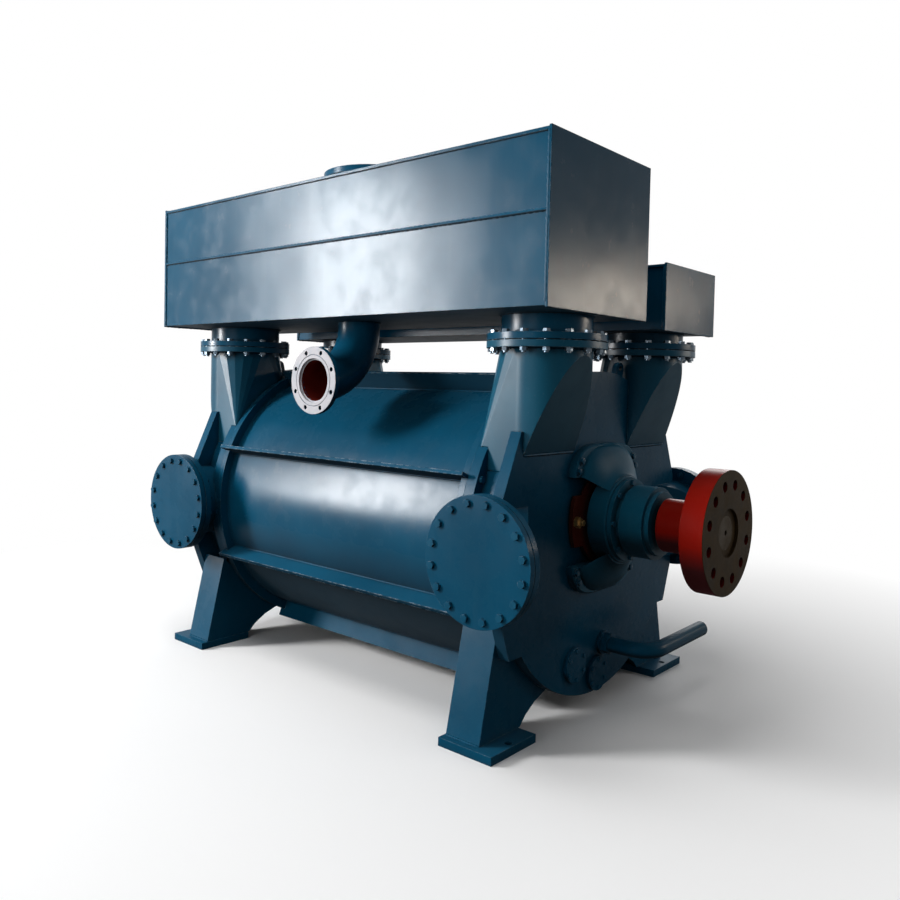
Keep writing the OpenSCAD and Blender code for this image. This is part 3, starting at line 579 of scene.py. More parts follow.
@dataclass(frozen=True)
class CouplingEnamel(Enamel):
    """Gloss red enamel on the coupling hub, with an oiled turned face."""

    bare: Colour = (0.042, 0.026, 0.011)
    oil: Colour = (0.016, 0.010, 0.004)
    face_x: float = 1.8125
    recess_x: float = 1.7985
    recess_r: float = 0.1085
    ring_pitch: float = 0.0022
    ring_depth: float = 0.0003

    def build(self, effects: Effects) -> bpy.types.Material:
        """Makes the material with its painted and turned zones.

        Args:
            effects: Shared node groups.

        Returns:
            The new material.
        """
        made, sheet, shader, film = self.coat(effects)
        x = sheet.split(sheet.place())[0]
        rings = sheet.group(effects.turned, Pitch=self.ring_pitch)
        inside = sheet.math("LESS_THAN", rings.outputs["Radius"], self.recess_r)
        recess = sheet.math("MULTIPLY", sheet.math("GREATER_THAN", x, self.recess_x), inside)
        bare = sheet.math("MAXIMUM", sheet.math("GREATER_THAN", x, self.face_x), recess)
        patch = sheet.remap(sheet.noise(sheet.place(), 9.0, 6.0, 0.68), 0.38, 0.66)
        metal = sheet.mix(patch, self.bare, self.oil)
        sheet.feed(shader.inputs["Base Color"], sheet.mix(bare, film["tone"], metal))
        dull = sheet.math("MULTIPLY", bare, sheet.remap(patch, 0.0, 1.0, 0.35, 0.25))
        sheet.feed(shader.inputs["Roughness"], sheet.math("ADD", film["rough"], dull))
        lathe = sheet.math("MULTIPLY", rings.outputs["Height"], bare)
        normal = sheet.bump(lathe, 0.25, self.ring_depth, film["normal"])
        sheet.feed(shader.inputs["Normal"], normal)
        return made


@dataclass(frozen=True)
class Metal(Finish):
    """Bare or plated metal with stains and fine tool marks."""

    colour: Colour = (0.42, 0.42, 0.42)
    stain: Colour = (0.12, 0.09, 0.06)
    stain_amount: float = 0.5
    metallic: float = 0.85
    rough: float = 0.32
    gloss: float = 0.5
    grain: float = 0.15
    ring_pitch: float = 0.0014
    ring_depth: float = 0.0002
    pit_depth: float = 0.0005
    edge_radius: float = 0.0015

    def build(self, effects: Effects) -> bpy.types.Material:
        """Makes the metal material.

        Args:
            effects: Shared node groups.

        Returns:
            The new material.
        """
        made, sheet, shader = self.start()
        place = sheet.place()
        edges = sheet.group(effects.edges, Radius=self.edge_radius)
        rings = sheet.group(effects.turned, Pitch=self.ring_pitch)
        patch = sheet.remap(sheet.noise(place, 16.0, 6.0, 0.68), 0.42, 0.72)
        spot = sheet.math("MULTIPLY", patch, self.stain_amount)
        tone = sheet.mix(spot, self.colour, self.stain)
        bright = tuple(min(1.0, 1.5 * c) for c in self.colour)
        tone = sheet.mix(sheet.math("MULTIPLY", edges.outputs["Mask"], 0.5), tone, bright)
        shader.inputs["Specular IOR Level"].default_value = self.gloss
        sheet.feed(shader.inputs["Base Color"], tone)
        metallic = sheet.remap(spot, 0.0, 1.0, self.metallic, 0.3 * self.metallic)
        sheet.feed(shader.inputs["Metallic"], metallic)
        rough = sheet.math("ADD", self.rough, sheet.math("MULTIPLY", spot, 0.4))
        sheet.feed(shader.inputs["Roughness"], rough)
        fine = sheet.bump(rings.outputs["Height"], self.grain, self.ring_depth, edges.outputs["Normal"])
        pits = sheet.noise(place, 260.0, 3.0)
        sheet.feed(shader.inputs["Normal"], sheet.bump(pits, 0.2, self.pit_depth, fine))
        return made


@dataclass(frozen=True)
class Fibre(Finish):
    """Sheet gasket or braided packing."""

    colour: Colour = (0.018, 0.018, 0.018)
    fleck: Colour = (0.06, 0.055, 0.05)
    rough: float = 0.8
    weave: float = 140.0
    weave_depth: float = 0.001

    def build(self, effects: Effects) -> bpy.types.Material:
        """Makes the fibre material.

        Args:
            effects: Shared node groups, not used here.

        Returns:
            The new material.
        """
        made, sheet, shader = self.start()
        fine = sheet.noise(sheet.place(), self.weave, 4.0, 0.6)
        patch = sheet.noise(sheet.place(), 20.0, 4.0, 0.6)
        tone = sheet.mix(sheet.remap(fine, 0.5, 0.7), self.colour, self.fleck)
        sheet.feed(shader.inputs["Base Color"], tone)
        rough = sheet.remap(patch, 0.3, 0.7, self.rough - 0.1, self.rough + 0.1)
        sheet.feed(shader.inputs["Roughness"], rough)
        sheet.feed(shader.inputs["Normal"], sheet.bump(fine, 0.5, self.weave_depth))
        return made


class Finishes:
    """Every material of the pump, by record slot."""

    def __init__(self) -> None:
        """Builds the shared effects and the materials."""
        effects = Effects()
        worn_and_glinting = {"edge_radius": 0.002, "edge_wear_and_glint_amount": 0.6, "wave": 0.0, "painted_shade_reach": 0.008}
        # Painted highlight: pale edges stand for glints on box and duct rims.
        glinting_edges = {"edge_radius": 0.005, "edge_wear_and_glint": (0.38, 0.48, 0.54), "edge_wear_and_glint_amount": 0.8}
        table: dict[Slot, Finish] = {
            Slot.PUMP_PAINT: Enamel("pump_enamel"),
            Slot.BOX_PAINT: Enamel(
                "box_enamel", wave=0.14, patch_scale=0.9, rough=0.22, gloss=0.04, **glinting_edges
            ),
            Slot.ELBOW_PAINT: ElbowEnamel("elbow_enamel"),
            Slot.PIPE_PAINT: Enamel("pipe_enamel", colour=(0.010, 0.070, 0.110), wave=0.0, rough=0.28),
            Slot.CAST_PARTS: Metal("machined_iron", colour=(0.20, 0.20, 0.21), metallic=0.7, rough=0.42),
            Slot.GASKET: Fibre("gasket_sheet"),
            # Bolt enamel is lighter than the pump enamel and paler at the edges: partly wear, partly
            # painted light on the heads.
            Slot.PAINTED_BOLTS: Enamel(
                "bolt_enamel", colour=(0.012, 0.095, 0.165), edge_wear_and_glint=(0.26, 0.32, 0.36), **worn_and_glinting
            ),
            Slot.PLATED_BOLTS: Metal(
                "zinc_plate", colour=(0.06, 0.075, 0.09), stain=(0.02, 0.06, 0.10), stain_amount=0.85
            ),
            Slot.GLAND_NUTS: Metal("oily_nut", colour=(0.30, 0.19, 0.07), stain=(0.10, 0.03, 0.01)),
            Slot.PACKING: Fibre("braided_packing", colour=(0.46, 0.40, 0.27), fleck=(0.22, 0.18, 0.11)),
            Slot.GLAND_PAINT: Enamel(
                "gland_primer",
                colour=(0.075, 0.012, 0.007),
                shade=(0.035, 0.007, 0.005),
                dust=(0.16, 0.10, 0.06),
                rough=0.6,
                edge_wear_and_glint=(0.12, 0.05, 0.03),
            ),
            Slot.BARE_STEEL: Metal(
                "turned_steel",
                colour=(0.034, 0.023, 0.011),
                stain=(0.02, 0.012, 0.006),
                metallic=0.0,
                rough=0.5,
                gloss=0.04,
            ),
            Slot.COUPLING_PAINT: CouplingEnamel(
                "coupling_enamel",
                colour=(0.25, 0.007, 0.003),
                shade=(0.20, 0.006, 0.003),
                dust=(0.35, 0.12, 0.08),
                dust_amount=0.04,
                rough=0.27,
                gloss=0.02,
                edge_wear_and_glint=(0.10, 0.03, 0.018),
                edge_wear_and_glint_amount=0.7,
                wave=0.0,
            ),
        }
        self.materials = {slot: finish.build(effects) for slot, finish in table.items()}
        # Paler copy of the pump enamel for ducts and bearing parts: partly weathered paint, partly painted
        # light where these parts catch more light.
        faded_and_lit = {"colour": (0.008, 0.098, 0.165), "shade": (0.004, 0.066, 0.118), "dust_amount": 0.2}
        even = {"edge_wear_and_glint_amount": 0.0, "peel": 0.0, "wave": 0.0}
        # Painted highlight: a pale line along the outer edges of the ribs.
        glinting_rib_edges = {"edge_radius": 0.008, "edge_wear_and_glint": (0.45, 0.53, 0.58), "edge_wear_and_glint_amount": 1.0}
        shell = Enamel("shell_enamel", rough=0.25, gloss=0.05, wave=0.06).build(effects)
        ribs = Enamel("rib_enamel", rough=0.45, gloss=0.012, **glinting_rib_edges).build(effects)
        ducts = Enamel("duct_enamel", rough=0.33, gloss=0.06, **faded_and_lit, **glinting_edges).build(effects)
        # Bearing parts take the paler copy as painted light.
        self.bearing = Enamel("bearing_enamel", rough=0.33, wave=0.0, **faded_and_lit).build(effects)
        self.weld = Enamel("weld_enamel", rough=0.4, gloss=0.016, **even).build(effects)
        self.box_weld = Enamel("seam_enamel", rough=0.3, gloss=0.05, **even).build(effects)
        self.own = {
            "casing_shell": shell,
            "casing_ribs": ribs,
            "nozzle_ducts_drive": ducts,
            "nozzle_ducts_free": ducts,
            "bearing_cover_drive": self.bearing,
            "bearing_cover_free": self.bearing,
        }

    def dress_node(self, node: str, material: bpy.types.Material) -> None:
        """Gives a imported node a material.

        Args:
            node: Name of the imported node.
            material: Material for the whole node.
        """
        piece = frame["nodes"][node]
        if not piece.material_slots:
            piece.data.materials.append(material)
        for holder in piece.material_slots:
            holder.material = material

    def dress_frame(self) -> None:
        """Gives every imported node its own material, or else that of its record slot."""
        for row in frame["record"]["subparts"]:
            material = self.own.get(row["node"], self.materials[Slot(row["material_slot"])])
            self.dress_node(row["node"], material)
            LOG.info("node %s: %s", row["node"], material.name)


class Mesh:
    """A mesh under work, with the operators that the pieces share."""

    def __init__(self) -> None:
        """Starts an empty mesh."""
        self.bm = bmesh.new()

    def absorb(self, run: bmesh.types.BMesh) -> None:
        """Takes over another mesh and frees it.

        Args:
            run: Mesh to take over.
        """
        data = bpy.data.meshes.new("run")
        run.to_mesh(data)
        run.free()
        self.bm.from_mesh(data)
        bpy.data.meshes.remove(data)

    def keep(
        self,
        name: str,
        body: Body,
        material: bpy.types.Material,
        smooth: float = 40.0,
    ) -> bpy.types.Object:
        """Closes the mesh and makes it a piece of the pump.

        Args:
            name: Name of the piece.
            body: Body that it rides on.
            material: Material of the whole piece.
            smooth: Largest angle between faces that still shades smooth, in degrees.

        Returns:
            The new object.
        """
        bmesh.ops.remove_doubles(self.bm, verts=self.bm.verts, dist=1e-6)
        bmesh.ops.recalc_face_normals(self.bm, faces=self.bm.faces)
        data = bpy.data.meshes.new(name)
        self.bm.to_mesh(data)
        self.bm.free()
        data.shade_smooth()
        data.set_sharp_from_angle(angle=math.radians(smooth))
        piece = bpy.data.objects.new(name, data)
        bpy.context.scene.collection.objects.link(piece)
        data.materials.append(material)
        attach(piece, body.value)
        LOG.info("piece %s: %d faces", name, len(data.polygons))
        return piece


@dataclass
class WeldBead:
    """A rippled weld bead."""

    radius: float = 0.007
    pitch: float = 0.013
    sides: int = 7
    swing: float = 0.16

    def ripple(self, count: int, step: int) -> float:
        """Gives the swell of one ring of the bead.

        Args:
            count: Number of the ring.
            step: Number that sets one bead apart from the next.

        Returns:
            Factor on the bead's radius.
        """
        beat = self.swing if count % 2 else -0.6 * self.swing
        short = 0.08 * math.sin(2.1 * count + step)
        return 1.0 + beat + short + 0.06 * math.sin(0.37 * count + 2.0 * step)

    def start(self, bm: bmesh.types.BMesh) -> list[bmesh.types.BMVert]:
        """Draws the bead's first ring at the origin, across Z."""
        return bmesh.ops.create_circle(bm, segments=self.sides, radius=self.radius)["verts"]

    def line(self, mesh: Mesh, start: Sequence[float], end: Sequence[float]) -> None:
        """Lays a straight bead.

        Args:
            mesh: Mesh that takes the bead.
            start: First end.
            end: Other end.
        """
        a, b = Vector(start), Vector(end)
        count = max(3, round((b - a).length / self.pitch))
        step = (b - a).length / count
        bm = bmesh.new()
        self.start(bm)
        way = (0.0, 0.0, step)
        axis = (0.0, 0.0, 1.0)
        bmesh.ops.spin(bm, geom=bm.edges[:], cent=(0, 0, 0), axis=axis, dvec=way, angle=0.0, steps=count)
        seed = round(100 * (a.x + 2 * a.y + 3 * a.z))
        for v in bm.verts:
            ring = round(v.co.z / step)
            swell = 0.35 if ring in (0, count) else self.ripple(ring, seed)
            v.co.x *= swell
            v.co.y *= swell
        bmesh.ops.holes_fill(bm, edges=[e for e in bm.edges if e.is_boundary])
        turn = (b - a).to_track_quat("Z", "Y").to_matrix().to_4x4()
        bmesh.ops.transform(bm, matrix=Matrix.Translation(a) @ turn, verts=bm.verts)
        mesh.absorb(bm)

    def ring(self, mesh: Mesh, centre: Sequence[float], axis: Axis, radius: float) -> None:
        """Lays a bead round a pipe.

        Args:
            mesh: Mesh that takes the bead.
            centre: Centre of the ring.
            axis: Axis of the ring.
            radius: Radius of the pipe.
        """
        count = 2 * max(12, round(math.pi * radius / self.pitch))
        bm = bmesh.new()
        first = self.start(bm)
        bmesh.ops.rotate(bm, verts=first, cent=(0, 0, 0), matrix=Matrix.Rotation(math.pi / 2, 3, "X"))
        bmesh.ops.translate(bm, verts=first, vec=(radius, 0, 0))
        axle = (0.0, 0.0, 1.0)
        bmesh.ops.spin(
            bm, geom=bm.edges[:], cent=(0, 0, 0), axis=axle, angle=math.tau, steps=count, use_merge=True
        )
        for v in bm.verts:
            turn = math.atan2(v.co.y, v.co.x)
            spine = Vector((radius * math.cos(turn), radius * math.sin(turn), 0.0))
            v.co = spine + (v.co - spine) * self.ripple(round(turn / math.tau * count), count)
        place = Vector(axis.value).to_track_quat("Z", "Y").to_matrix().to_4x4()
        bmesh.ops.transform(bm, matrix=Matrix.Translation(Vector(centre)) @ place, verts=bm.verts)
        mesh.absorb(bm)


@dataclass
class PlateBox:
    """Welds of a box of plates with proud end plates."""

    name: str
    half_length: float
    front_y: float
    rear_y: float
    floor_z: float
    top_z: float
    stub_y: float
    lip: float = 0.006
    end_plate: float = 0.012
    bead_r: float = 0.008
    top_bead_r: float = 0.005
    branch: tuple[float, float, float] = (0.0, 0.0, 0.2)
    seam_z: Optional[float] = None

    def build(self, finishes: Finishes) -> None:
        """Lays the beads along the end plates, round the stubs and along the seam.

        Args:
            finishes: Materials by slot.
        """
        mesh = Mesh()
        bead = WeldBead(radius=self.bead_r)
        y0, y1 = self.front_y + self.lip, self.rear_y - self.lip
        z0, z1 = self.floor_z + self.lip, self.top_z - self.lip
        corners = [(y0, z0), (y1, z0), (y1, z1), (y0, z1)]
        for side in (-1, 1):
            x = side * (self.half_length - self.end_plate)
            for (ya, za), (yb, zb) in zip(corners, corners[1:] + corners[:1]):
                bead.line(mesh, (x, ya, za), (x, yb, zb))
            bead.ring(mesh, (side * NOZZLE_X, self.stub_y, z0), Axis.Z, NOZZLE_R)
        x, y, radius = self.branch
        bead.ring(mesh, (x, y, z1), Axis.Z, radius)
        run = self.half_length - self.end_plate
        under = z1 - self.end_plate
        for y in (y0, y1):
            WeldBead(radius=self.top_bead_r).line(mesh, (-run, y, under), (run, y, under))
        if self.seam_z is not None:
            seam = WeldBead(radius=self.bead_r, pitch=0.014, swing=0.3)
            seam.line(mesh, (-run, y0, self.seam_z), (run, y0, self.seam_z))
        mesh.keep(self.name, Body.PUMP, finishes.box_weld)


@dataclass
class CasingWelds:
    """Welds of the ribs and ring flanges on the casing shell."""

    shell_r: float = 0.735
    ring_x: float = 0.885
    rib_count: int = 8
    rib_half: float = 0.009
    bead_r: float = 0.005

    def build(self, finishes: Finishes) -> None:
        """Lays the beads beside each rib and inside each ring flange.

        Args:
            finishes: Materials by slot.
        """
        mesh = Mesh()
        bead = WeldBead(radius=self.bead_r)
        for i in range(self.rib_count):
            turn = Matrix.Rotation(math.tau * (i + 0.5) / self.rib_count, 3, "X")
            for side in (-1, 1):
                at = turn @ Vector((0.0, side * self.rib_half, self.shell_r))
                start = (-self.ring_x, at.y, at.z + CASING_Z)
                bead.line(mesh, start, (self.ring_x, at.y, at.z + CASING_Z))
        for side in (-1, 1):
            bead.ring(mesh, (side * self.ring_x, 0.0, CASING_Z), Axis.X, self.shell_r)
        mesh.keep("casing_welds", Body.PUMP, finishes.weld)


@dataclass
class CoverWelds:
    """Welds of the nozzles, inspection ducts and feet on the end covers."""

    plate_x: float = 1.165
    slant_z: float = 1.267
    flange_z: float = 1.735
    duct_z: float = 0.843
    duct_y: float = 0.865
    duct_r: float = 0.203
    foot_x: tuple[float, float] = (0.9205, 1.1065)
    foot_y: float = 0.840
    sole_z: float = 0.038
    bead_r: float = 0.007
    bead_inset: float = 0.004

    def build(self, finishes: Finishes) -> None:
        """Lays the beads at both ends and on both sides.

        Args:
            finishes: Materials by slot.
        """
        mesh = Mesh()
        bead = WeldBead(radius=self.bead_r)
        half = NOZZLE_R - self.bead_inset
        for end in (-1, 1):
            for side in (-1, 1):
                y = side * NOZZLE_Y
                low = (end * self.plate_x, y - half, self.slant_z)
                bead.line(mesh, low, (end * self.plate_x, y + half, self.slant_z))
                bead.ring(mesh, (end * NOZZLE_X, y, self.flange_z), Axis.Z, NOZZLE_R)
                bead.ring(mesh, (end * NOZZLE_X, side * self.duct_y, self.duct_z), Axis.Y, self.duct_r)
                a, b = (end * x for x in self.foot_x)
                bead.line(mesh, (a, side * self.foot_y, self.sole_z), (b, side * self.foot_y, self.sole_z))
        mesh.keep("cover_welds", Body.PUMP, finishes.weld)


@dataclass
class ElbowWelds:
    """Welds of the drain elbow."""

    top: tuple[float, float, float] = (0.0, -0.542, 1.886)
    mouth: tuple[float, float, float] = (0.0, -0.825, 1.572)
    pipe_r: float = 0.1095
    bead_r: float = 0.006

    def build(self, finishes: Finishes) -> None:
        """Lays the beads under the box and behind the flange.

        Args:
            finishes: Materials by slot.
        """
        mesh = Mesh()
        bead = WeldBead(radius=self.bead_r)
        bead.ring(mesh, self.top, Axis.Z, self.pipe_r)
        bead.ring(mesh, self.mouth, Axis.Y, self.pipe_r)
        mesh.keep("elbow_welds", Body.PUMP, finishes.weld)


@dataclass(frozen=True)
class Arch:
    """One arch of a bracket foot, across and over the shaft."""

    half: float
    height: float
    power: float
    window: float

    def draw(self, columns: int) -> list[tuple[float, float]]:
        """Draws the arch from one side of the window to the other.

        Args:
            columns: Steps along the arch.

        Returns:
            Points across and over the shaft.
        """
        edge = self.half * (1.0 - (self.window / self.height) ** self.power) ** (1.0 / self.power)
        points = []
        for i in range(columns + 1):
            y = edge * math.cos(math.pi * i / columns)
            points.append((y, self.height * (1.0 - abs(y / self.half) ** self.power) ** (1.0 / self.power)))
        return points


@dataclass
class BearingBracket:
    """Cast bracket of one bearing: a ring that an arched foot above and one below carry."""

    name: str
    node: str
    end: int
    plate_x: float = 1.165
    foot_t: float = 0.040
    foot_round: float = 0.006
    neck_x: float = 1.305
    ring_x: tuple[float, float] = (1.218, 1.316)
    ring_r: float = 0.208
    ring_chamfer: float = 0.004
    bore_r: float = 0.1605
    foot: Arch = Arch(0.304, 0.358, 4.0, 0.210)
    hood: Arch = Arch(0.270, 0.352, 3.0, 0.210)
    neck: Arch = Arch(0.214, 0.214, 2.0, 0.150)
    columns: int = 40
    rows: int = 14
    bolts: tuple[tuple[float, float], ...] = ((0.266, 0.236), (0.244, 0.284))
    ring_steps: int = 96
    head_r: float = 0.016
    head_h: float = 0.013
    head_round: float = 0.0015
    washer_r: float = 0.0208
    washer_h: float = 0.004

    def outlines(self) -> list[tuple[float, list[tuple[float, float]]]]:
        """Lays the arches from the end plate to the ring.

        Returns:
            Distance along the shaft and points of each arch.
        """
        cut = self.foot_round
        rim = Arch(self.foot.half - cut, self.foot.height - cut, self.foot.power, self.foot.window)
        arches = (self.foot, rim, self.hood, self.neck)
        foot, lip, hood, neck = (arch.draw(self.columns) for arch in arches)
        face = self.plate_x + self.foot_t
        made = [(self.plate_x, foot), (face - cut, foot), (face, lip)]
        for i in range(self.rows + 1):
            way = i / self.rows
            ease = way * way * (3.0 - 2.0 * way)
            row = [tuple(Vector(a).lerp(Vector(b), ease)) for a, b in zip(hood, neck)]
            made.append((face + way * (self.neck_x - face), row))
        return made

    def add_foot(self, mesh: Mesh, turn: float) -> None:
        """Draws out one foot, arch by arch, and closes it.

        Args:
            mesh: Mesh that takes the foot.
            turn: Angle round the shaft.
        """
        bm = bmesh.new()
        column = bm.verts.layers.int.new("column")
        (x, outline), *others = self.outlines()
        first = [bm.verts.new((x, y, z)) for y, z in outline]
        for i, vert in enumerate(first):
            vert[column] = i
        edges = [bm.edges.new(pair) for pair in zip(first, first[1:] + first[:1])]
        for x, outline in others:
            made = bmesh.ops.extrude_edge_only(bm, edges=edges)["geom"]
            fresh = {item for item in made if isinstance(item, bmesh.types.BMVert)}
            lines = [item for item in made if isinstance(item, bmesh.types.BMEdge)]
            edges = [line for line in lines if set(line.verts) <= fresh]
            for vert in fresh:
                vert.co = (x, *outline[vert[column]])
        bmesh.ops.holes_fill(bm, edges=[e for e in bm.edges if e.is_boundary])
        flip = Matrix.Scale(self.end, 4, (1.0, 0.0, 0.0))
        lift = Matrix.Translation((0.0, 0.0, SHAFT_Z))
        bmesh.ops.transform(bm, matrix=flip @ lift @ Matrix.Rotation(turn, 4, "X"), verts=bm.verts)
        mesh.absorb(bm)

    def add_ring(self, mesh: Mesh) -> None:
        """Turns the ring round the bearing.

        Args:
            mesh: Mesh that takes the ring.
        """
        x0, x1 = self.ring_x
        cut = self.ring_chamfer
        profile = [(x0, self.bore_r), (x0, self.ring_r - cut), (x0 + cut, self.ring_r)]
        profile += [(x1 - cut, self.ring_r), (x1, self.ring_r - cut), (x1, self.bore_r)]
        bm = bmesh.new()
        verts = [bm.verts.new((self.end * x, 0.0, SHAFT_Z + r)) for x, r in profile]
        edges = [bm.edges.new(pair) for pair in zip(verts, verts[1:] + verts[:1])]
        axle = (1.0, 0.0, 0.0)
        hub = (0.0, 0.0, SHAFT_Z)
        bmesh.ops.spin(
            bm, geom=edges, cent=hub, axis=axle, angle=math.tau, steps=self.ring_steps, use_merge=True
        )
        mesh.absorb(bm)

    def add_bolts(self, heads: Mesh) -> None:
        """Sets the bolt heads with washers on the lips of both feet.

        Args:
            heads: Mesh that takes the heads.
        """
        face = self.end * (self.plate_x + self.foot_t)
        turn = Matrix.Rotation(self.end * math.pi / 2, 4, "Y")
        for y, z in self.bolts:
            for across in (-1, 1):
                for over in (-1, 1):
                    place = Matrix.Translation((face, across * y, SHAFT_Z + over * z))
                    self.add_disc(heads, place @ turn, 24, self.washer_r, self.washer_h, 0.0)
                    self.add_disc(heads, place @ turn, 6, self.head_r, self.head_h, self.head_round)

    def add_disc(
        self, heads: Mesh, place: Matrix, sides: int, radius: float, height: float, rounding: float
    ) -> None:
        """Sets a round or hexagonal disc, half sunk, with a rounded upper rim.

        Args:
            heads: Mesh that takes the disc.
            place: Place and turn of the disc.
            sides: Number of its sides.
            radius: Its radius over corners.
            height: Height that stands out.
            rounding: Rounding of the rim, or 0.
        """
        bm = bmesh.new()
        bmesh.ops.create_cone(
            bm, cap_ends=True, segments=sides, radius1=radius, radius2=radius, depth=2.0 * height
        )
        if rounding:
            rim = [e for e in bm.edges if all(v.co.z > 0 for v in e.verts)]
            bmesh.ops.bevel(
                bm, geom=rim, offset=rounding, affect="EDGES", segments=2, profile=0.5, material=-1
            )
        bmesh.ops.transform(bm, matrix=place, verts=bm.verts)
        heads.absorb(bm)

    def build(self, finishes: Finishes, heads: Mesh) -> None:
        """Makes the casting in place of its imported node, and adds its bolt heads.

        Args:
            finishes: Materials by slot.
            heads: Mesh that takes the bolt heads.
        """
        mesh = Mesh()
        self.add_foot(mesh, 0.0)
        self.add_foot(mesh, math.pi)
        self.add_ring(mesh)
        self.add_bolts(heads)
        piece = mesh.keep(self.name, Body.PUMP, finishes.bearing)
        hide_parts(self.node)


@dataclass
class Lamp:
    """A soft box lamp, or a card that shows as a reflection and lights nothing else."""

    name: str
    place: tuple[float, float, float]
    aim: tuple[float, float, float]
    size: tuple[float, float]
    power: float
    tint: Colour = (1.0, 1.0, 1.0)
    card: bool = False
    mirrored: bool = True

    def build(self) -> None:
        """Hangs the lamp and turns it to its aim."""
        data = bpy.data.lights.new(self.name, "AREA")
        data.shape = "RECTANGLE"
        data.size, data.size_y = self.size
        data.energy = self.power
        data.color = self.tint
        lamp = bpy.data.objects.new(self.name, data)
        lamp.location = self.place
        way = Vector(self.aim) - Vector(self.place)
        lamp.rotation_euler = way.to_track_quat("-Z", "Y").to_euler()
        lamp.visible_diffuse = not self.card
        lamp.visible_glossy = self.mirrored
        bpy.context.scene.collection.objects.link(lamp)


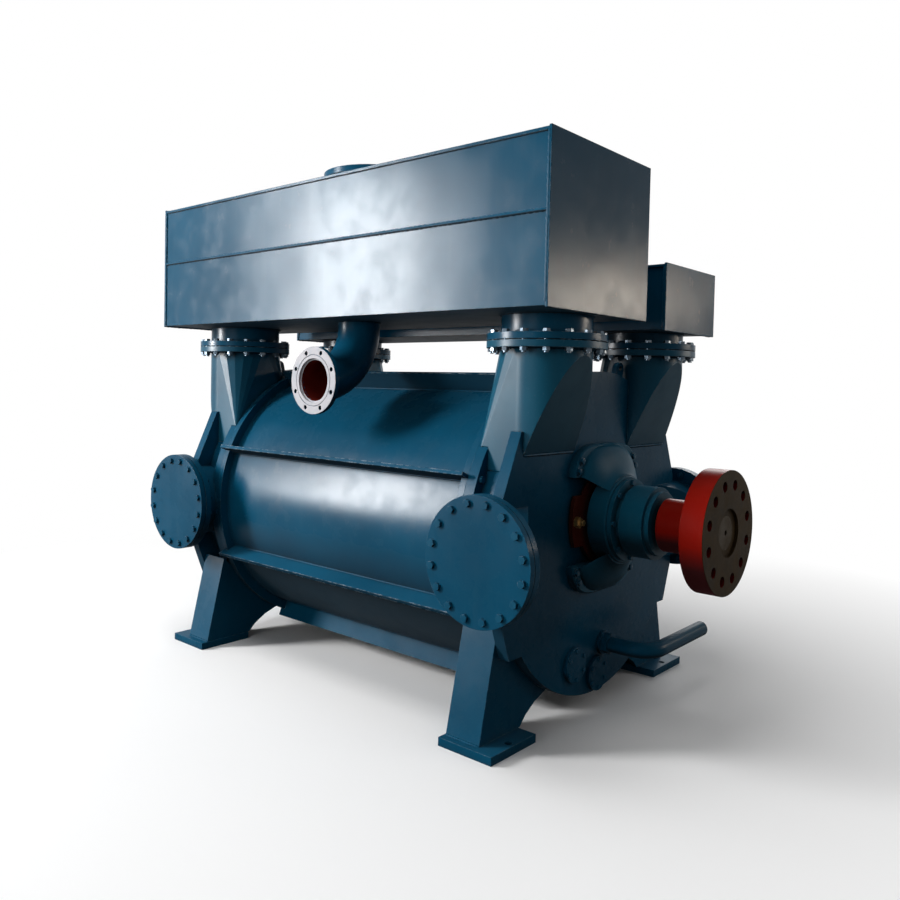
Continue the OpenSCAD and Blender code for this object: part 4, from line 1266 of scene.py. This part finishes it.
@dataclass
class Studio:
    """Floor, background, lamps and camera."""

    eye: tuple[float, float, float] = (3.218, -3.5358, 1.566)
    yaw: float = 40.65
    pitch: float = -1.90
    roll: float = 1.29
    focal_px: float = 821.75
    frame_px: float = 900.0
    centre_y_px: float = 412.0
    sensor: float = 36.0
    clip_end: float = 200.0
    floor_half: float = 40.0
    floor_bounce: float = 0.08
    floor_seen: float = 0.9
    ambient: float = 0.16
    near: float = 1.7
    far: float = 4.5

    def background(self, sheet: NodeSheet) -> bpy.types.NodeSocket:
        """Picks the rays that should see the plain background.

        Args:
            sheet: Sheet of the floor or the world.

        Returns:
            Socket with 1 for these rays and 0 for others.
        """
        path = sheet.node("ShaderNodeLightPath").outputs
        seen = sheet.math("MAXIMUM", path["Is Camera Ray"], path["Is Glossy Ray"])
        return sheet.math("MAXIMUM", seen, path["Is Transmission Ray"])

    def build_floor(self) -> None:
        """Lays a wide pale floor."""
        bm = bmesh.new()
        bmesh.ops.create_grid(bm, x_segments=1, y_segments=1, size=self.floor_half)
        data = bpy.data.meshes.new("studio_floor")
        bm.to_mesh(data)
        bm.free()
        floor = bpy.data.objects.new("studio_floor", data)
        bpy.context.scene.collection.objects.link(floor)
        made = bpy.data.materials.new("pale_floor")
        made.use_nodes = True
        sheet = NodeSheet(made.node_tree)
        shader = made.node_tree.nodes["Principled BSDF"]
        seen = self.background(sheet)
        tone = sheet.remap(seen, 0.0, 1.0, self.floor_bounce, self.floor_seen)
        sheet.feed(shader.inputs["Base Color"], sheet.mix(tone, (0.0, 0.0, 0.0), (1.0, 1.0, 1.0)))
        shader.inputs["Roughness"].default_value = 0.9
        shader.inputs["Specular IOR Level"].default_value = 0.0
        x, y, _ = sheet.split(sheet.place())
        square = sheet.math("ADD", sheet.math("MULTIPLY", x, x), sheet.math("MULTIPLY", y, y))
        out = sheet.remap(sheet.math("SQRT", square), self.near, self.far)
        glow = sheet.node("ShaderNodeEmission")
        blend = sheet.node("ShaderNodeMixShader")
        sheet.feed(blend.inputs[0], sheet.math("MULTIPLY", out, seen))
        sheet.feed(blend.inputs[1], shader.outputs[0])
        sheet.feed(blend.inputs[2], glow.outputs[0])
        sheet.feed(made.node_tree.nodes["Material Output"].inputs["Surface"], blend.outputs[0])
        data.materials.append(made)

    def build_world(self) -> None:
        """Sets a white background over a dimmer ambient light."""
        world = bpy.data.worlds.new("studio_world")
        bpy.context.scene.world = world
        world.use_nodes = True
        sheet = NodeSheet(world.node_tree)
        shader = world.node_tree.nodes["Background"]
        shader.inputs["Color"].default_value = (1.0, 1.0, 1.0, 1.0)
        strength = sheet.remap(self.background(sheet), 0.0, 1.0, self.ambient, 1.0)
        sheet.feed(shader.inputs["Strength"], strength)

    def build_lamps(self) -> None:
        """Hangs the lamps."""
        Lamp("window_left", (-6.0, -6.8, 4.4), (0.0, -0.8, 1.3), (1.8, 2.6), 900.0, mirrored=False).build()
        Lamp("window_glare", (-5.8, -6.7, 2.95), (0.0, -0.8, 1.6), (1.8, 3.4), 3900.0, card=True).build()
        Lamp("low_glare", (-6.3, -6.8, 1.3), (0.0, -0.6, 1.1), (1.4, 1.2), 500.0, card=True).build()
        Lamp("front_fill", (0.5, -9.0, 2.2), (0.0, 0.0, 1.2), (4.0, 2.5), 130.0).build()
        Lamp("overhead", (-0.5, -2.0, 7.5), (0.0, 0.0, 1.0), (5.0, 4.0), 240.0).build()
        warm = (1.0, 0.87, 0.72)
        Lamp("right_card", (5.1, 4.75, 2.6), (1.4, 0.0, 2.0), (2.4, 0.6), 175.0, warm, card=True).build()
        Lamp("right_fill", (6.0, 4.0, 3.2), (1.2, 0.0, 1.2), (2.0, 2.0), 35.0).build()
        Lamp("rear_fill", (-2.0, 8.0, 4.5), (0.0, 0.0, 1.2), (5.0, 3.0), 260.0).build()

    def build_camera(self) -> None:
        """Sets the camera to the photo's viewing angle."""
        yaw, pitch, roll = (math.radians(a) for a in (self.yaw, self.pitch, self.roll))
        ahead = Vector((-math.sin(yaw) * math.cos(pitch), math.cos(yaw) * math.cos(pitch), math.sin(pitch)))
        right = Vector((math.cos(yaw), math.sin(yaw), 0.0))
        up = right.cross(ahead)
        rolled_right = math.cos(roll) * right + math.sin(roll) * up
        rolled_up = math.cos(roll) * up - math.sin(roll) * right
        turn = Matrix((rolled_right, rolled_up, -ahead)).transposed().to_4x4()
        data = bpy.data.cameras.new("photo_camera")
        data.sensor_width = self.sensor
        data.lens = self.sensor * self.focal_px / self.frame_px
        data.shift_y = (self.centre_y_px - self.frame_px / 2) / self.frame_px
        data.clip_end = self.clip_end
        camera = bpy.data.objects.new("photo_camera", data)
        camera.matrix_world = Matrix.Translation(Vector(self.eye)) @ turn
        bpy.context.scene.collection.objects.link(camera)
        bpy.context.scene.camera = camera

    def build(self) -> None:
        """Sets up the whole studio."""
        bpy.context.scene.view_settings.view_transform = "Standard"
        self.build_floor()
        self.build_world()
        self.build_lamps()
        self.build_camera()


def main() -> None:
    """Builds the studio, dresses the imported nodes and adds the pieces."""
    logging.basicConfig(level=logging.INFO, format="%(message)s")
    Studio().build()
    finishes = Finishes()
    finishes.dress_frame()
    PlateBox(
        name="separator_welds",
        half_length=1.405,
        front_y=-0.856,
        rear_y=-0.038,
        floor_z=1.880,
        top_z=2.586,
        stub_y=-NOZZLE_Y,
        branch=(0.0, -0.447, NOZZLE_R),
        seam_z=2.260,
    ).build(finishes)
    PlateBox(
        name="suction_welds",
        half_length=1.400,
        front_y=0.166,
        rear_y=0.737,
        floor_z=1.853,
        top_z=2.181,
        stub_y=NOZZLE_Y,
        branch=(0.0, 0.4515, NOZZLE_R),
    ).build(finishes)
    CasingWelds().build(finishes)
    CoverWelds().build(finishes)
    ElbowWelds().build(finishes)
    heads = Mesh()
    BearingBracket("bracket_casting_drive", "bearing_bracket_drive", 1).build(finishes, heads)
    BearingBracket("bracket_casting_free", "bearing_bracket_free", -1).build(finishes, heads)
    bolt_paint = finishes.materials[Slot.PAINTED_BOLTS]
    piece = heads.keep("bracket_foot_bolts", Body.PUMP, bolt_paint)
    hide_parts("bracket_bolts")


if __name__ == "__main__":
    main()
